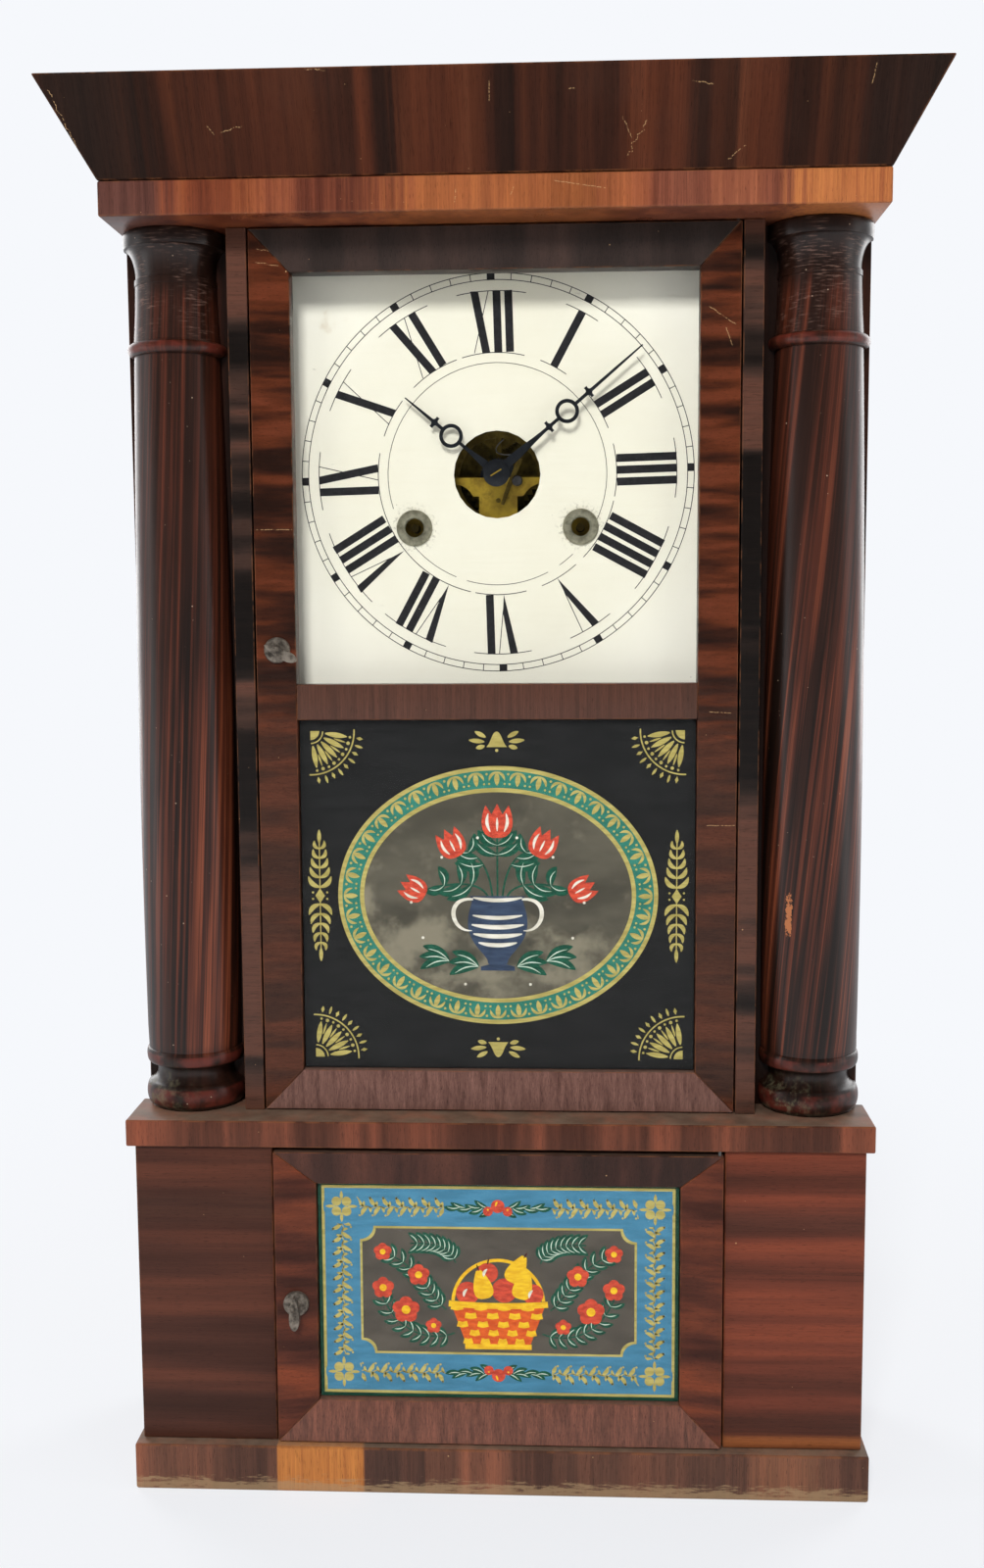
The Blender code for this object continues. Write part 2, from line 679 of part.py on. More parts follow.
def column_profile():
    """The half column's turning, as (z, radius) from the top down."""
    foot = SHELF_TOP + GAP
    head = CROWN_BOTTOM - GAP
    abacus = head - COLUMN_ABACUS_HEIGHT
    flare = abacus - COLUMN_SWEEP_HEIGHT
    fillet = flare - COLUMN_FILLET_HEIGHT
    ring_top = fillet - COLUMN_NECKING_HEIGHT
    ring = ring_top - COLUMN_ASTRAGAL_HEIGHT
    torus = foot + COLUMN_TORUS_HEIGHT
    hollow = torus + COLUMN_SCOTIA_HEIGHT
    shaft = hollow + COLUMN_UPPER_TORUS_HEIGHT
    points = [(head, 0.0), (head, COLUMN_CAPITAL)]
    points += cove(flare, abacus, COLUMN_SWEEP, COLUMN_CAPITAL, 4)
    points += [(flare - GAP, COLUMN_NECKING + GAP), (fillet, COLUMN_NECKING + GAP)]
    points += [(fillet - GAP, COLUMN_NECKING)]
    points += [(ring_top, COLUMN_SHAFT_NECK)]
    points += bead(ring, ring_top, COLUMN_SHAFT_NECK, COLUMN_ASTRAGAL, 5)
    for k in range(6):
        t = 1 - k / 5
        radius = COLUMN_SHAFT_FOOT + (COLUMN_SHAFT_NECK - COLUMN_SHAFT_FOOT) * t
        points.append((shaft + (ring - shaft) * t, radius + 4 * COLUMN_SHAFT_SWELL * t * (1 - t)))
    points += bead(hollow, shaft, COLUMN_SHAFT_FOOT - GAP, COLUMN_UPPER_TORUS, 4)
    points += cove(torus + COLUMN_SCOTIA_HEIGHT / 2, hollow, COLUMN_SCOTIA, COLUMN_SCOTIA_LIP, 2)
    points += [(torus + GAP, COLUMN_SCOTIA_LIP), (torus, COLUMN_SCOTIA_LIP + GAP)]
    points += bead(foot, torus, COLUMN_SCOTIA_LIP + GAP, COLUMN_TORUS, 5)
    points += [(foot, COLUMN_SCOTIA_LIP + GAP), (foot, 0.0)]
    return points


def build_columns():
    """Turned columns, split down the middle and set on the recessed frame."""
    seat = RECESS - GAP
    clear = COLUMN_TORUS * 2
    for side, name in ((-1, "column_left"), (1, "column_right")):
        x = side * COLUMN_AXIS_X
        whole = spun(name, column_profile(), COLUMN_STEPS, GRAINED_PAINT)
        whole.location = (x, seat, 0.0)
        cut(whole, board("split", x - clear, x + clear, seat, seat + clear, 0.0, TOP, PINE))


def build_crown():
    """Crown rail, and the flaring cornice with its mitred corners."""
    reach = HALF_CASE + CROWN_SIDE_REACH
    front = FACE - CROWN_FRONT_REACH
    board("crown_rail", -reach, reach, front, RECESS - GAP, CROWN_BOTTOM, CROWN_TOP, VENEER)
    inner = reach - CORNICE_BOARD
    plan = [(-reach, front), (reach, front), (reach, BACK), (inner, BACK), (inner, front + CORNICE_BOARD),
            (-inner, front + CORNICE_BOARD), (-inner, BACK), (-reach, BACK)]
    cornice = as_mesh(plan_sheet("cornice", [plan], CROWN_TOP + GAP, TOP, VENEER))
    for vertex in cornice.data.vertices:
        if vertex.co.z > 0:
            vertex.co.x += math.copysign(CORNICE_FLARE, vertex.co.x)
            if vertex.co.y < BACK - CORNICE_BOARD:
                vertex.co.y -= CORNICE_FLARE


# Doors


def build_catch(name, x, z, face, back, knob_angle):
    """Turn catch: oblong knob on a round plate, shaft through the stile, and a tongue that points down."""
    plate_back = face - GAP
    plate_front = plate_back - CATCH_PLATE_THICKNESS
    knob_back = plate_front - CATCH_STANDOFF
    knob_front = knob_back - CATCH_KNOB_THICKNESS
    tongue_front = back + GAP
    tongue_back = tongue_front + CATCH_TONGUE_THICKNESS
    shaft = turned(name, [(knob_back - GAP, 0.0), (knob_back - GAP, CATCH_SHAFT_RADIUS),
                          (plate_front, CATCH_BOSS_RADIUS), (plate_front, CATCH_DOME_RADIUS),
                          (plate_front + CATCH_PLATE_THICKNESS / 2, CATCH_PLATE_RADIUS),
                          (plate_back, CATCH_PLATE_RADIUS), (plate_back, CATCH_SHAFT_RADIUS),
                          (tongue_back - GAP, CATCH_SHAFT_RADIUS), (tongue_back - GAP, 0.0)],
                   16, IRON, (x, z))
    half = CATCH_KNOB_WIDTH / 2
    line = arc(0.0, CATCH_KNOB_REACH - half, half, 0.0, 180.0, 4)
    line += arc(0.0, half - CATCH_KNOB_TAIL, half, 180.0, 360.0, 4)
    knob = front_sheet("knob", [turn_outline(line, knob_angle)], knob_front, knob_back, IRON, (x, z))
    wide = CATCH_TONGUE_WIDTH / 2
    tongue = front_sheet("tongue", [rectangle(-wide, wide, -CATCH_TONGUE_LENGTH, wide)],
                         tongue_front, tongue_back, IRON, (x, z))
    return fuse(shaft, knob, tongue)


def build_door(kind, half, bottom, top, face, back, openings, catch_z, knob_angle):
    """A door frame with its glazed openings, bored for its hinge pins and its catch."""
    axis_x, axis_y = half - PIN_INSET, face + PIN_SETBACK
    catch_x = CATCH_INSET - half
    outer = rectangle(-half, half, bottom, top)
    frame = front_sheet(kind + "_door_frame", [outer, *[rectangle(*opening) for opening, _, _ in openings]],
                        face, back, VENEER)
    hole = PIN_RADIUS + GAP
    bore = arbor("bore", (catch_x, catch_z), face - GAP, back + GAP, CATCH_SHAFT_RADIUS + GAP)
    frame = cut(frame, bore, peg("top_hole", axis_x, axis_y, top - PIN_LENGTH - GAP, top + GAP, hole),
                peg("foot_hole", axis_x, axis_y, bottom - GAP, bottom + PIN_LENGTH + GAP, hole))
    pieces = [frame]
    pane = face + GLASS_SETBACK
    for (x0, x1, z0, z1), name, look in openings:
        pieces.append(board(name, x0 + GAP, x1 - GAP, pane, pane + GLASS_THICKNESS, z0 + GAP, z1 - GAP, look))
    pieces.append(build_catch(kind + "_catch", catch_x, catch_z, face, back, knob_angle))
    hang_on(kind + "_door_axis", (axis_x, axis_y, bottom), *pieces)
    return axis_x, axis_y


def build_doors():
    """The two doors and the four pins that they turn on."""
    wide = UPPER_OPENING_HALF
    openings = [((-wide, wide, OPENING_BOTTOM, OPENING_TOP), "dial_glass", CLEAR_GLASS),
                ((-wide, wide, TABLET_BOTTOM, TABLET_TOP), "upper_tablet", PAINTED_GLASS)]
    x, y = build_door("upper", UPPER_HALF, UPPER_BOTTOM, UPPER_TOP, POST_FACE, POST_FACE + DOOR_THICKNESS,
                      openings, SHELF_TOP + UPPER_CATCH_RISE, UPPER_KNOB_ANGLE)
    peg("upper_door_top_pin", x, y, UPPER_TOP - PIN_LENGTH, CROWN_BOTTOM - GAP, PIN_RADIUS)
    peg("upper_door_foot_pin", x, y, SHELF_TOP + GAP, UPPER_BOTTOM + PIN_LENGTH, PIN_RADIUS)
    wide = LOWER_HALF - LOWER_STILE
    openings = [((-wide, wide, LOWER_BOTTOM + LOWER_BOTTOM_RAIL, LOWER_TOP - LOWER_TOP_RAIL),
                 "lower_tablet", BLUE_GLASS)]
    x, y = build_door("lower", LOWER_HALF, LOWER_BOTTOM, LOWER_TOP, LOWER_FACE,
                      LOWER_FACE + LOWER_DOOR_THICKNESS, openings, PLINTH_HEIGHT + LOWER_CATCH_RISE,
                      LOWER_KNOB_ANGLE)
    peg("lower_door_top_pin", x, y, LOWER_TOP - PIN_LENGTH, SHELF_BOTTOM - GAP, PIN_RADIUS)
    peg("lower_door_foot_pin", x, y, PLINTH_HEIGHT, LOWER_BOTTOM + PIN_LENGTH, PIN_RADIUS)


# Dial


def build_dial():
    """Sheet dial with holes for the hands and the winding squares, and a grommet in each of those."""
    half = UPPER_OPENING_HALF + DIAL_SIDE_MARGIN
    low = OPENING_BOTTOM - DIAL_BOTTOM_MARGIN - DIAL_Z
    high = OPENING_TOP + DIAL_TOP_MARGIN - DIAL_Z
    holes = [circle(0.0, 0.0, DIAL_HOLE_RADIUS, 24)]
    back = DIAL_FACE - GAP
    front = back - GROMMET_HEIGHT
    for side, name in ((-1, "strike_grommet"), (1, "time_grommet")):
        x = side * WINDING_SPREAD
        holes.append(circle(x, -WINDING_DROP, GROMMET_HOLE + GAP, 16))
        rim = [(front, GROMMET_HOLE + GAP), (front, GROMMET_RADIUS - GROMMET_HEIGHT),
               (front + GROMMET_HEIGHT / 2, GROMMET_RADIUS), (back, GROMMET_RADIUS), (back, GROMMET_HOLE)]
        turned(name, rim, 16, STEEL, (x, DIAL_Z - WINDING_DROP), closed=True)
    front_sheet("dial_panel", [rectangle(-half, half, low, high), *holes], DIAL_FACE,
                DIAL_FACE + DIAL_THICKNESS, DIAL_PAINT, (0.0, DIAL_Z))


# Wheelwork layout


def tip_radius(teeth, module):
    """How far a wheel's teeth reach."""
    return module * (teeth / 2 + ADDENDUM)


def mesh_distance(teeth, leaves, module):
    """Distance between two arbors whose wheels are in mesh."""
    return module * (teeth + leaves) / 2 + MESH_EASE


def open_distance(teeth, leaves, module):
    """Distance between two arbors whose teeth just clear each other."""
    return tip_radius(teeth, module) + tip_radius(leaves, module) + OPEN_MESH


def bearing_angle(a, b):
    """Angle of b as seen from a, in degrees."""
    return math.degrees(math.atan2(b[1] - a[1], b[0] - a[0]))


def upper_crossing(a, b, reach_a, reach_b):
    """The higher of the two points at given distances from a and from b."""
    span = math.dist(a, b)
    along = (reach_a ** 2 - reach_b ** 2 + span ** 2) / (2 * span)
    off = math.sqrt(reach_a ** 2 - along ** 2)
    ux, uz = (b[0] - a[0]) / span, (b[1] - a[1]) / span
    return (a[0] + along * ux - off * uz, a[1] + along * uz + off * ux)


CENTRE = (0.0, DIAL_Z)
DRUM = (WINDING_SPREAD, DIAL_Z - WINDING_DROP)
SECOND = upper_crossing(CENTRE, DRUM, open_distance(SECOND_TEETH, PINION_LEAVES, SECOND_MODULE),
                        mesh_distance(GREAT_TEETH, PINION_LEAVES, GREAT_MODULE))
THIRD = (0.0, DIAL_Z + mesh_distance(CENTRE_TEETH, PINION_LEAVES, CENTRE_MODULE))
ESCAPE = (0.0, THIRD[1] + open_distance(THIRD_TEETH, PINION_LEAVES, THIRD_MODULE))
VERGE = (0.0, ESCAPE[1] + VERGE_RISE)
SUSPENSION = (0.0, VERGE[1] + SUSPENSION_RISE)
FLY = (-FLY_X, DIAL_Z + FLY_RISE)
HAMMER = (-HAMMER_X, DIAL_Z - HAMMER_DROP)
MOTION = (0.0, DIAL_Z - mesh_distance(MINUTE_WHEEL_TEETH, CANNON_LEAVES, CANNON_MODULE))
HOUR_MODULE = CANNON_MODULE * (MINUTE_WHEEL_TEETH + CANNON_LEAVES) / (HOUR_WHEEL_TEETH + MINUTE_PINION_LEAVES)
ARM_FRONT = INNER_FACE + SECOND_PLANE + WHEEL_THICKNESS + HAMMER_ARM_SETBACK
ARM_BACK = ARM_FRONT + HAMMER_WIRE
PULLEY = (WEIGHT_X - PULLEY_GROOVE - CORD_RADIUS - GAP, TOP_BOARD_BOTTOM - PULLEY_DROP)


def gear_outline(teeth, module, tip_angle):
    """A wheel of pointed teeth, with one tip at the given angle in degrees."""
    tip = tip_radius(teeth, module)
    root = module * (teeth / 2 - DEDENDUM)
    start = math.radians(tip_angle)
    points = []
    for k in range(2 * teeth):
        a = start + math.pi * k / teeth
        r = root if k % 2 else tip
        points.append((r * math.cos(a), r * math.sin(a)))
    return points


def gear(teeth, module, centre, tip_angle, front, length, holes=()):
    """A toothed wheel or pinion."""
    return front_sheet("gear", [gear_outline(teeth, module, tip_angle), *holes], front, front + length,
                       BRASS, centre)


def crossings(inner, outer, arms, arm_width):
    """The openings between a wheel's arms."""
    windows = []
    for k in range(arms):
        start = 360.0 * k / arms
        end = start + 360.0 / arms
        out = math.degrees(arm_width / 2 / outer)
        into = math.degrees(arm_width / 2 / inner)
        windows.append(arc(0.0, 0.0, outer, start + out, end - out, 5)
                       + arc(0.0, 0.0, inner, end - into, start + into, 1))
    return windows


def wheel_windows(teeth, module, boss):
    """Crossings that suit a wheel: a rim under its teeth, four arms and a boss."""
    rim = module * (teeth / 2 - DEDENDUM) - WHEEL_RIM
    return crossings(boss, rim, WHEEL_ARMS, WHEEL_ARM_WIDTH)


# Movement


def pivot_holes(centre_radius):
    """Pivot holes that both plates share."""
    shafts = [(DRUM, WINDING_ARBOR_RADIUS), (mirror(DRUM), WINDING_ARBOR_RADIUS), (SECOND, ARBOR_RADIUS),
              (mirror(SECOND), ARBOR_RADIUS), (CENTRE, centre_radius), (THIRD, ARBOR_RADIUS),
              (ESCAPE, ARBOR_RADIUS), (VERGE, ARBOR_RADIUS), (FLY, ARBOR_RADIUS), (HAMMER, ARBOR_RADIUS)]
    return [circle(x, z - DIAL_Z, radius + ARBOR_CLEARANCE) for (x, z), radius in shafts]


def arch_window():
    """The open arch over the centre arbor, with the arbor's bearing standing up into it."""
    dip = math.degrees(math.asin(ARCH_SILL / ARCH_RADIUS))
    lobe = math.degrees(math.asin(ARCH_SILL / BEARING_LOBE))
    return (arc(0.0, 0.0, ARCH_RADIUS, -dip, 180.0 + dip, 20)
            + arc(0.0, 0.0, BEARING_LOBE, 180.0 + lobe, -lobe, 8))


def scallop_window(side):
    """A round cut-out beside the middle strap, squared off at its foot."""
    lean = math.degrees(math.asin((SCALLOP_DROP - STEP_DROP) / SCALLOP_RADIUS))
    line = [(STRAP_HALF_WIDTH, -SCALLOP_FOOT), (STRAP_HALF_WIDTH, -STEP_DROP)]
    line += arc(SCALLOP_X, -SCALLOP_DROP, SCALLOP_RADIUS, 180.0 - lean, 0.0, 10)
    line += [(SCALLOP_X + SCALLOP_RADIUS, -SCALLOP_FOOT)]
    return [(side * x, z) for x, z in line]


def build_plates():
    """Front plate, back plate with its pillars and suspension stud, and the mount on the backboard."""
    low, high, half = -PLATE_BELOW, PLATE_ABOVE, PLATE_HALF_WIDTH
    edge = rectangle(-half, half, low, high)
    minute_stud = circle(MOTION[0], MOTION[1] - DIAL_Z, ARBOR_RADIUS + ARBOR_CLEARANCE)
    windows = [arch_window(), scallop_window(-1), scallop_window(1)]
    front_sheet("front_plate", [edge, *pivot_holes(HOUR_PIPE_OUTER), minute_stud, *windows],
                FRONT_PLATE, INNER_FACE, BRASS, CENTRE)
    rear = front_sheet("back_plate", [edge, *pivot_holes(CENTRE_ARBOR_RADIUS)], BACK_PLATE, PLATE_REAR, BRASS,
                       CENTRE)
    middle = BACK_PLATE + PLATE_THICKNESS / 2
    joined = [arbor("stud", SUSPENSION, middle, PLATE_REAR + STUD_LENGTH, STUD_RADIUS, BRASS)]
    for x in (PILLAR_INSET - half, half - PILLAR_INSET):
        for z in (DIAL_Z + low + PILLAR_INSET, DIAL_Z + high - PILLAR_INSET):
            joined.append(arbor("pillar", (x, z), INNER_FACE + GAP, middle, PILLAR_RADIUS, BRASS))
    fuse(rear, *joined)
    inner = half - MOUNT_RAIL
    lintel = high - MOUNT_BAR
    line = [(-half, low), (-inner, low), (-inner, lintel), (inner, lintel), (inner, low), (half, low),
            (half, high), (-half, high)]
    front_sheet("movement_mount", [line], PLATE_REAR + GAP, BOARD_FACE - GAP, PINE, CENTRE)


def build_drum(name, centre, toward):
    """Winding drum with its great wheel, winding end and arbor."""
    start = DIAL_FACE + DIAL_THICKNESS + WINDING_END_SETBACK
    drum_front = INNER_FACE + DRUM_PLANE
    wheel_front = INNER_FACE + GREAT_PLANE
    rear = PLATE_REAR - GAP
    lip = drum_front + DRUM_FLANGE_THICKNESS
    profile = [(start, 0.0), (start, WINDING_ARBOR_RADIUS), (drum_front, WINDING_ARBOR_RADIUS),
               (drum_front, DRUM_FLANGE), (lip, DRUM_FLANGE), (lip, DRUM_RADIUS),
               (wheel_front + GAP, DRUM_RADIUS), (wheel_front + GAP, WINDING_ARBOR_RADIUS),
               (rear, WINDING_ARBOR_RADIUS), (rear, 0.0)]
    barrel = turned(name, profile, 16, BRASS, centre)
    windows = wheel_windows(GREAT_TEETH, GREAT_MODULE, DRUM_FLANGE)
    fuse(barrel, gear(GREAT_TEETH, GREAT_MODULE, centre, bearing_angle(centre, toward), wheel_front,
                      GREAT_THICKNESS, windows))


def train_arbor(name, centre):
    """A plain arbor pivoted in both plates."""
    return arbor(name, centre, FRONT_PLATE + GAP, PLATE_REAR - GAP, ARBOR_RADIUS)


def centred(plane, thickness):
    """Front of a pinion that is centred on a wheel's rim."""
    return INNER_FACE + plane - (PINION_LENGTH - thickness) / 2


def build_second(name, centre, drum, pins):
    """Second arbor of a train: pinion in mesh with the great wheel, and a wheel behind it."""
    tip = bearing_angle(centre, drum) + 180.0 / PINION_LEAVES
    pinion = gear(PINION_LEAVES, GREAT_MODULE, centre, tip, centred(GREAT_PLANE, GREAT_THICKNESS),
                  PINION_LENGTH)
    wheel_front = INNER_FACE + SECOND_PLANE
    wheel_back = wheel_front + WHEEL_THICKNESS
    wheel = gear(SECOND_TEETH, SECOND_MODULE, centre, 0.0, wheel_front, WHEEL_THICKNESS)
    lifting = []
    for x, z in circle(centre[0], centre[1], LIFT_CIRCLE, max(pins, 1))[:pins]:
        lifting.append(arbor("lift", (x, z), wheel_front + GAP, wheel_back + LIFT_PIN_LENGTH, LIFT_PIN_RADIUS,
                             steps=6))
    fuse(train_arbor(name, centre), pinion, wheel, *lifting)


def build_going_train():
    """Centre arbor, third wheel and escape wheel."""
    pinion = gear(PINION_LEAVES, SECOND_MODULE, CENTRE, 0.0, centred(SECOND_PLANE, WHEEL_THICKNESS),
                  PINION_LENGTH)
    windows = wheel_windows(CENTRE_TEETH, CENTRE_MODULE, CENTRE_BOSS)
    wheel = gear(CENTRE_TEETH, CENTRE_MODULE, CENTRE, 90.0, INNER_FACE + CENTRE_PLANE, WHEEL_THICKNESS,
                 windows)
    shaft_front = BOARD_FACE - HOUR_HAND_TO_BOARD
    shaft = arbor("centre_arbor", CENTRE, shaft_front, PLATE_REAR - GAP, CENTRE_ARBOR_RADIUS)
    fuse(shaft, pinion, wheel)
    pinion = gear(PINION_LEAVES, CENTRE_MODULE, THIRD, 180.0 / PINION_LEAVES - 90.0,
                  centred(CENTRE_PLANE, WHEEL_THICKNESS), PINION_LENGTH)
    wheel = gear(THIRD_TEETH, THIRD_MODULE, THIRD, 0.0, INNER_FACE + THIRD_PLANE, WHEEL_THICKNESS)
    fuse(train_arbor("third_wheel", THIRD), pinion, wheel)
    pinion = gear(PINION_LEAVES, THIRD_MODULE, ESCAPE, 0.0, centred(THIRD_PLANE, WHEEL_THICKNESS),
                  PINION_LENGTH)
    points = []
    for k in range(ESCAPE_TEETH):
        a = 360.0 * k / ESCAPE_TEETH
        points += arc(0.0, 0.0, ESCAPE_RADIUS, a, a, 1)[:1]
        points += arc(0.0, 0.0, ESCAPE_RADIUS - ESCAPE_TOOTH_DEPTH, a + ESCAPE_RAKE, a + ESCAPE_RAKE, 1)[:1]
    front = INNER_FACE + ESCAPE_PLANE
    wheel = front_sheet("gear", [points], front, front + WHEEL_THICKNESS, BRASS, ESCAPE)
    fuse(train_arbor("escape_wheel", ESCAPE), pinion, wheel)


def build_fly():
    """Air brake of the strike train."""
    front = INNER_FACE + FLY_PLANE
    vane = front_sheet("vane", [rectangle(-FLY_RADIUS, FLY_RADIUS, -FLY_THICKNESS / 2, FLY_THICKNESS / 2)],
                       front, front + FLY_LENGTH, BRASS, FLY)
    fuse(train_arbor("fly", FLY), vane)


def build_verge():
    """Verge: pallet strip over the escape wheel, arbor, and the crutch with its fork."""
    front = INNER_FACE + ESCAPE_PLANE - GAP
    back = front + WHEEL_THICKNESS + 2 * GAP
    crutch_front = PLATE_REAR + 2 * GAP
    crutch_back = crutch_front + CRUTCH_THICKNESS
    shaft = arbor("verge", VERGE, FRONT_PLATE + GAP, crutch_back - GAP, ARBOR_RADIUS)
    reach = ESCAPE_RADIUS + PALLET_CLEARANCE
    low, high = 90.0 - PALLET_ANGLE, 90.0 + PALLET_ANGLE
    line = arc(0.0, -VERGE_RISE, reach, low, high, 10)
    line += arc(0.0, -VERGE_RISE, reach + PALLET_THICKNESS, high, low, 10)
    strip = front_sheet("strip", [line], front, back, STEEL, VERGE)
    half = VERGE_WEB_HALF
    foot = reach + PALLET_THICKNESS / 2 - VERGE_RISE
    web = front_sheet("web", [rectangle(-half, half, foot, half)], front, back, STEEL, VERGE)
    wide = CRUTCH_WIDTH / 2
    inner = ROD_WIDTH / 2 + FORK_CLEARANCE
    outer = inner + FORK_PRONG
    line = [(-outer, -CRUTCH_DROP - wide), (outer, -CRUTCH_DROP - wide), (outer, wide - CRUTCH_DROP),
            (wide, wide - CRUTCH_DROP), (wide, wide), (-wide, wide), (-wide, wide - CRUTCH_DROP),
            (-outer, wide - CRUTCH_DROP)]
    pieces = [web, strip, front_sheet("arm", [line], crutch_front, crutch_back, STEEL, VERGE)]
    for side in (-1, 1):
        x0, x1 = sorted((side * inner, side * outer))
        pieces.append(front_sheet("prong", [rectangle(x0, x1, -CRUTCH_DROP - wide, wide - CRUTCH_DROP)],
                                  crutch_back - GAP, crutch_back + FORK_REACH, STEEL, VERGE))
    fuse(shaft, *pieces)


def build_pendulum():
    """Pendulum rod with its eye on the stud and its rating nut, and the lens-shaped bob."""
    front = PLATE_REAR + ROD_SPACE
    back = front + ROD_THICKNESS
    half = ROD_WIDTH / 2
    nut_top = -BOB_DROP - BOB_RADIUS - GAP
    lean = math.degrees(math.asin(half / EYE_RADIUS))
    line = arc(0.0, 0.0, EYE_RADIUS, lean - 90.0, 270.0 - lean, 16)
    line += [(-half, nut_top), (-NUT_WIDTH / 2, nut_top), (-NUT_WIDTH / 2, nut_top - NUT_HEIGHT),
             (NUT_WIDTH / 2, nut_top - NUT_HEIGHT), (NUT_WIDTH / 2, nut_top), (half, nut_top)]
    eye = circle(0.0, 0.0, STUD_RADIUS + GAP)
    rod = front_sheet("pendulum_rod", [line, eye], front, back, STEEL, SUSPENSION)
    middle = (front + back) / 2
    z = SUSPENSION[1] - BOB_DROP
    thick, edge = BOB_THICKNESS / 2, BOB_EDGE / 2
    swell = thick * BOB_SHOULDER
    profile = [(middle - thick, 0.0), (middle - swell, BOB_RADIUS / 2), (middle - edge, BOB_RADIUS),
               (middle + edge, BOB_RADIUS), (middle + swell, BOB_RADIUS / 2), (middle + thick, 0.0)]
    lens = turned("pendulum_bob", profile, 24, BRASS, (0.0, z))
    clear = BOB_RADIUS + NUT_WIDTH
    slot = board("slot", -half - GAP, half + GAP, front - GAP, back + GAP, z - clear, z + clear, STEEL)
    bob = cut(lens, slot)
    hang_on("pendulum_axis", (SUSPENSION[0], 0.0, SUSPENSION[1]), rod, bob)


def build_hammer():
    """Strike hammer: arbor, long arm down to the gong, head, and the tail that the lifting pins raise."""
    half = HAMMER_WIRE / 2
    pin_wheel = mirror(SECOND)
    reach = math.dist(HAMMER, pin_wheel) - LIFT_CIRCLE - HAMMER_TAIL_CLEARANCE
    lean = 90.0 - bearing_angle(HAMMER, pin_wheel)
    arm_line = rectangle(-half, half, GONG_HEIGHT - HAMMER[1], half)
    arm = front_sheet("arm", [arm_line], ARM_FRONT, ARM_BACK, STEEL, HAMMER)
    tail_line = turn_outline(rectangle(-half, half, -half, reach), lean)
    tail = front_sheet("tail", [tail_line], ARM_FRONT, ARM_BACK, STEEL, HAMMER)
    middle = (ARM_FRONT + ARM_BACK) / 2
    head = arbor("head", (HAMMER[0], GONG_HEIGHT), middle - HAMMER_HEAD_LENGTH / 2,
                 middle + HAMMER_HEAD_LENGTH / 2, HAMMER_HEAD_RADIUS, IRON)
    fuse(train_arbor("hammer", HAMMER), arm, tail, head)


def build_gong():
    """Coiled wire gong round the head of its cast block."""
    middle = (ARM_FRONT + ARM_BACK) / 2
    front = middle - GONG_WIRE / 2
    head = middle + GONG_WIRE / 2
    turned("gong_block", [(front, 0.0), (front, GONG_BLOCK_HEAD), (head, GONG_BLOCK_HEAD),
                          (BOARD_FACE - GAP, GONG_BLOCK_FOOT), (BOARD_FACE - GAP, 0.0)], 16, IRON,
           (0.0, GONG_HEIGHT))
    start = GONG_BLOCK_HEAD + GONG_WIRE / 2 + GAP
    end = HAMMER_X - HAMMER_HEAD_RADIUS - HAMMER_STRIKE_GAP - GONG_WIRE / 2
    count = int(GONG_TURNS * GONG_TURN_POINTS)
    coil = []
    for k in range(count + 1):
        share = k / count
        a = math.pi - 2 * math.pi * GONG_TURNS * (1 - share)
        r = start + (end - start) * share
        coil.append((r * math.cos(a), middle, GONG_HEIGHT + r * math.sin(a)))
    tube("gong_coil", coil, GONG_WIRE / 2, STEEL)


# Weights, cords and pulleys


def cord_route():
    """The time cord from its drum up and over its pulley, as (x, z) points."""
    drum_r = DRUM_RADIUS + CORD_RADIUS + GAP
    groove_r = PULLEY_GROOVE + CORD_RADIUS + GAP
    span = math.dist(DRUM, PULLEY)
    lean = bearing_angle(DRUM, PULLEY) + 90.0 - math.degrees(math.asin((groove_r - drum_r) / span))
    return arc(DRUM[0], DRUM[1], drum_r, lean, lean, 1)[:1] + arc(*PULLEY, groove_r, lean, 0.0, 12)


def build_pulley(kind, side):
    """A corner pulley in its strap bracket under the top board."""
    x, z = side * PULLEY[0], PULLEY[1]
    half = PULLEY_WIDTH / 2
    bore = PULLEY_AXLE + GAP
    section = [(-half, bore), (-half, PULLEY_RIM), (-half / 2, PULLEY_RIM), (-CORD_RADIUS, PULLEY_GROOVE),
               (CORD_RADIUS, PULLEY_GROOVE), (half / 2, PULLEY_RIM), (half, PULLEY_RIM), (half, bore)]
    profile = [(CORD_Y + y, radius) for y, radius in section]
    turned(kind + "_pulley", profile, 16, BRASS, (x, z), closed=True)
    cheek = half + BRACKET_CLEARANCE
    out = cheek + BRACKET_SHEET
    foot = -BRACKET_WIDTH / 2
    top = TOP_BOARD_BOTTOM - GAP - z
    line = [(-out, foot), (-cheek, foot), (-cheek, top - BRACKET_SHEET), (cheek, top - BRACKET_SHEET),
            (cheek, foot), (out, foot), (out, top), (-out, top)]
    strap = side_sheet(kind + "_pulley_bracket", [line], x - BRACKET_WIDTH / 2, x + BRACKET_WIDTH / 2, IRON,
                       (CORD_Y, z))
    end = cheek + BRACKET_SHEET / 2
    fuse(strap, arbor("axle", (x, z), CORD_Y - end, CORD_Y + end, PULLEY_AXLE))


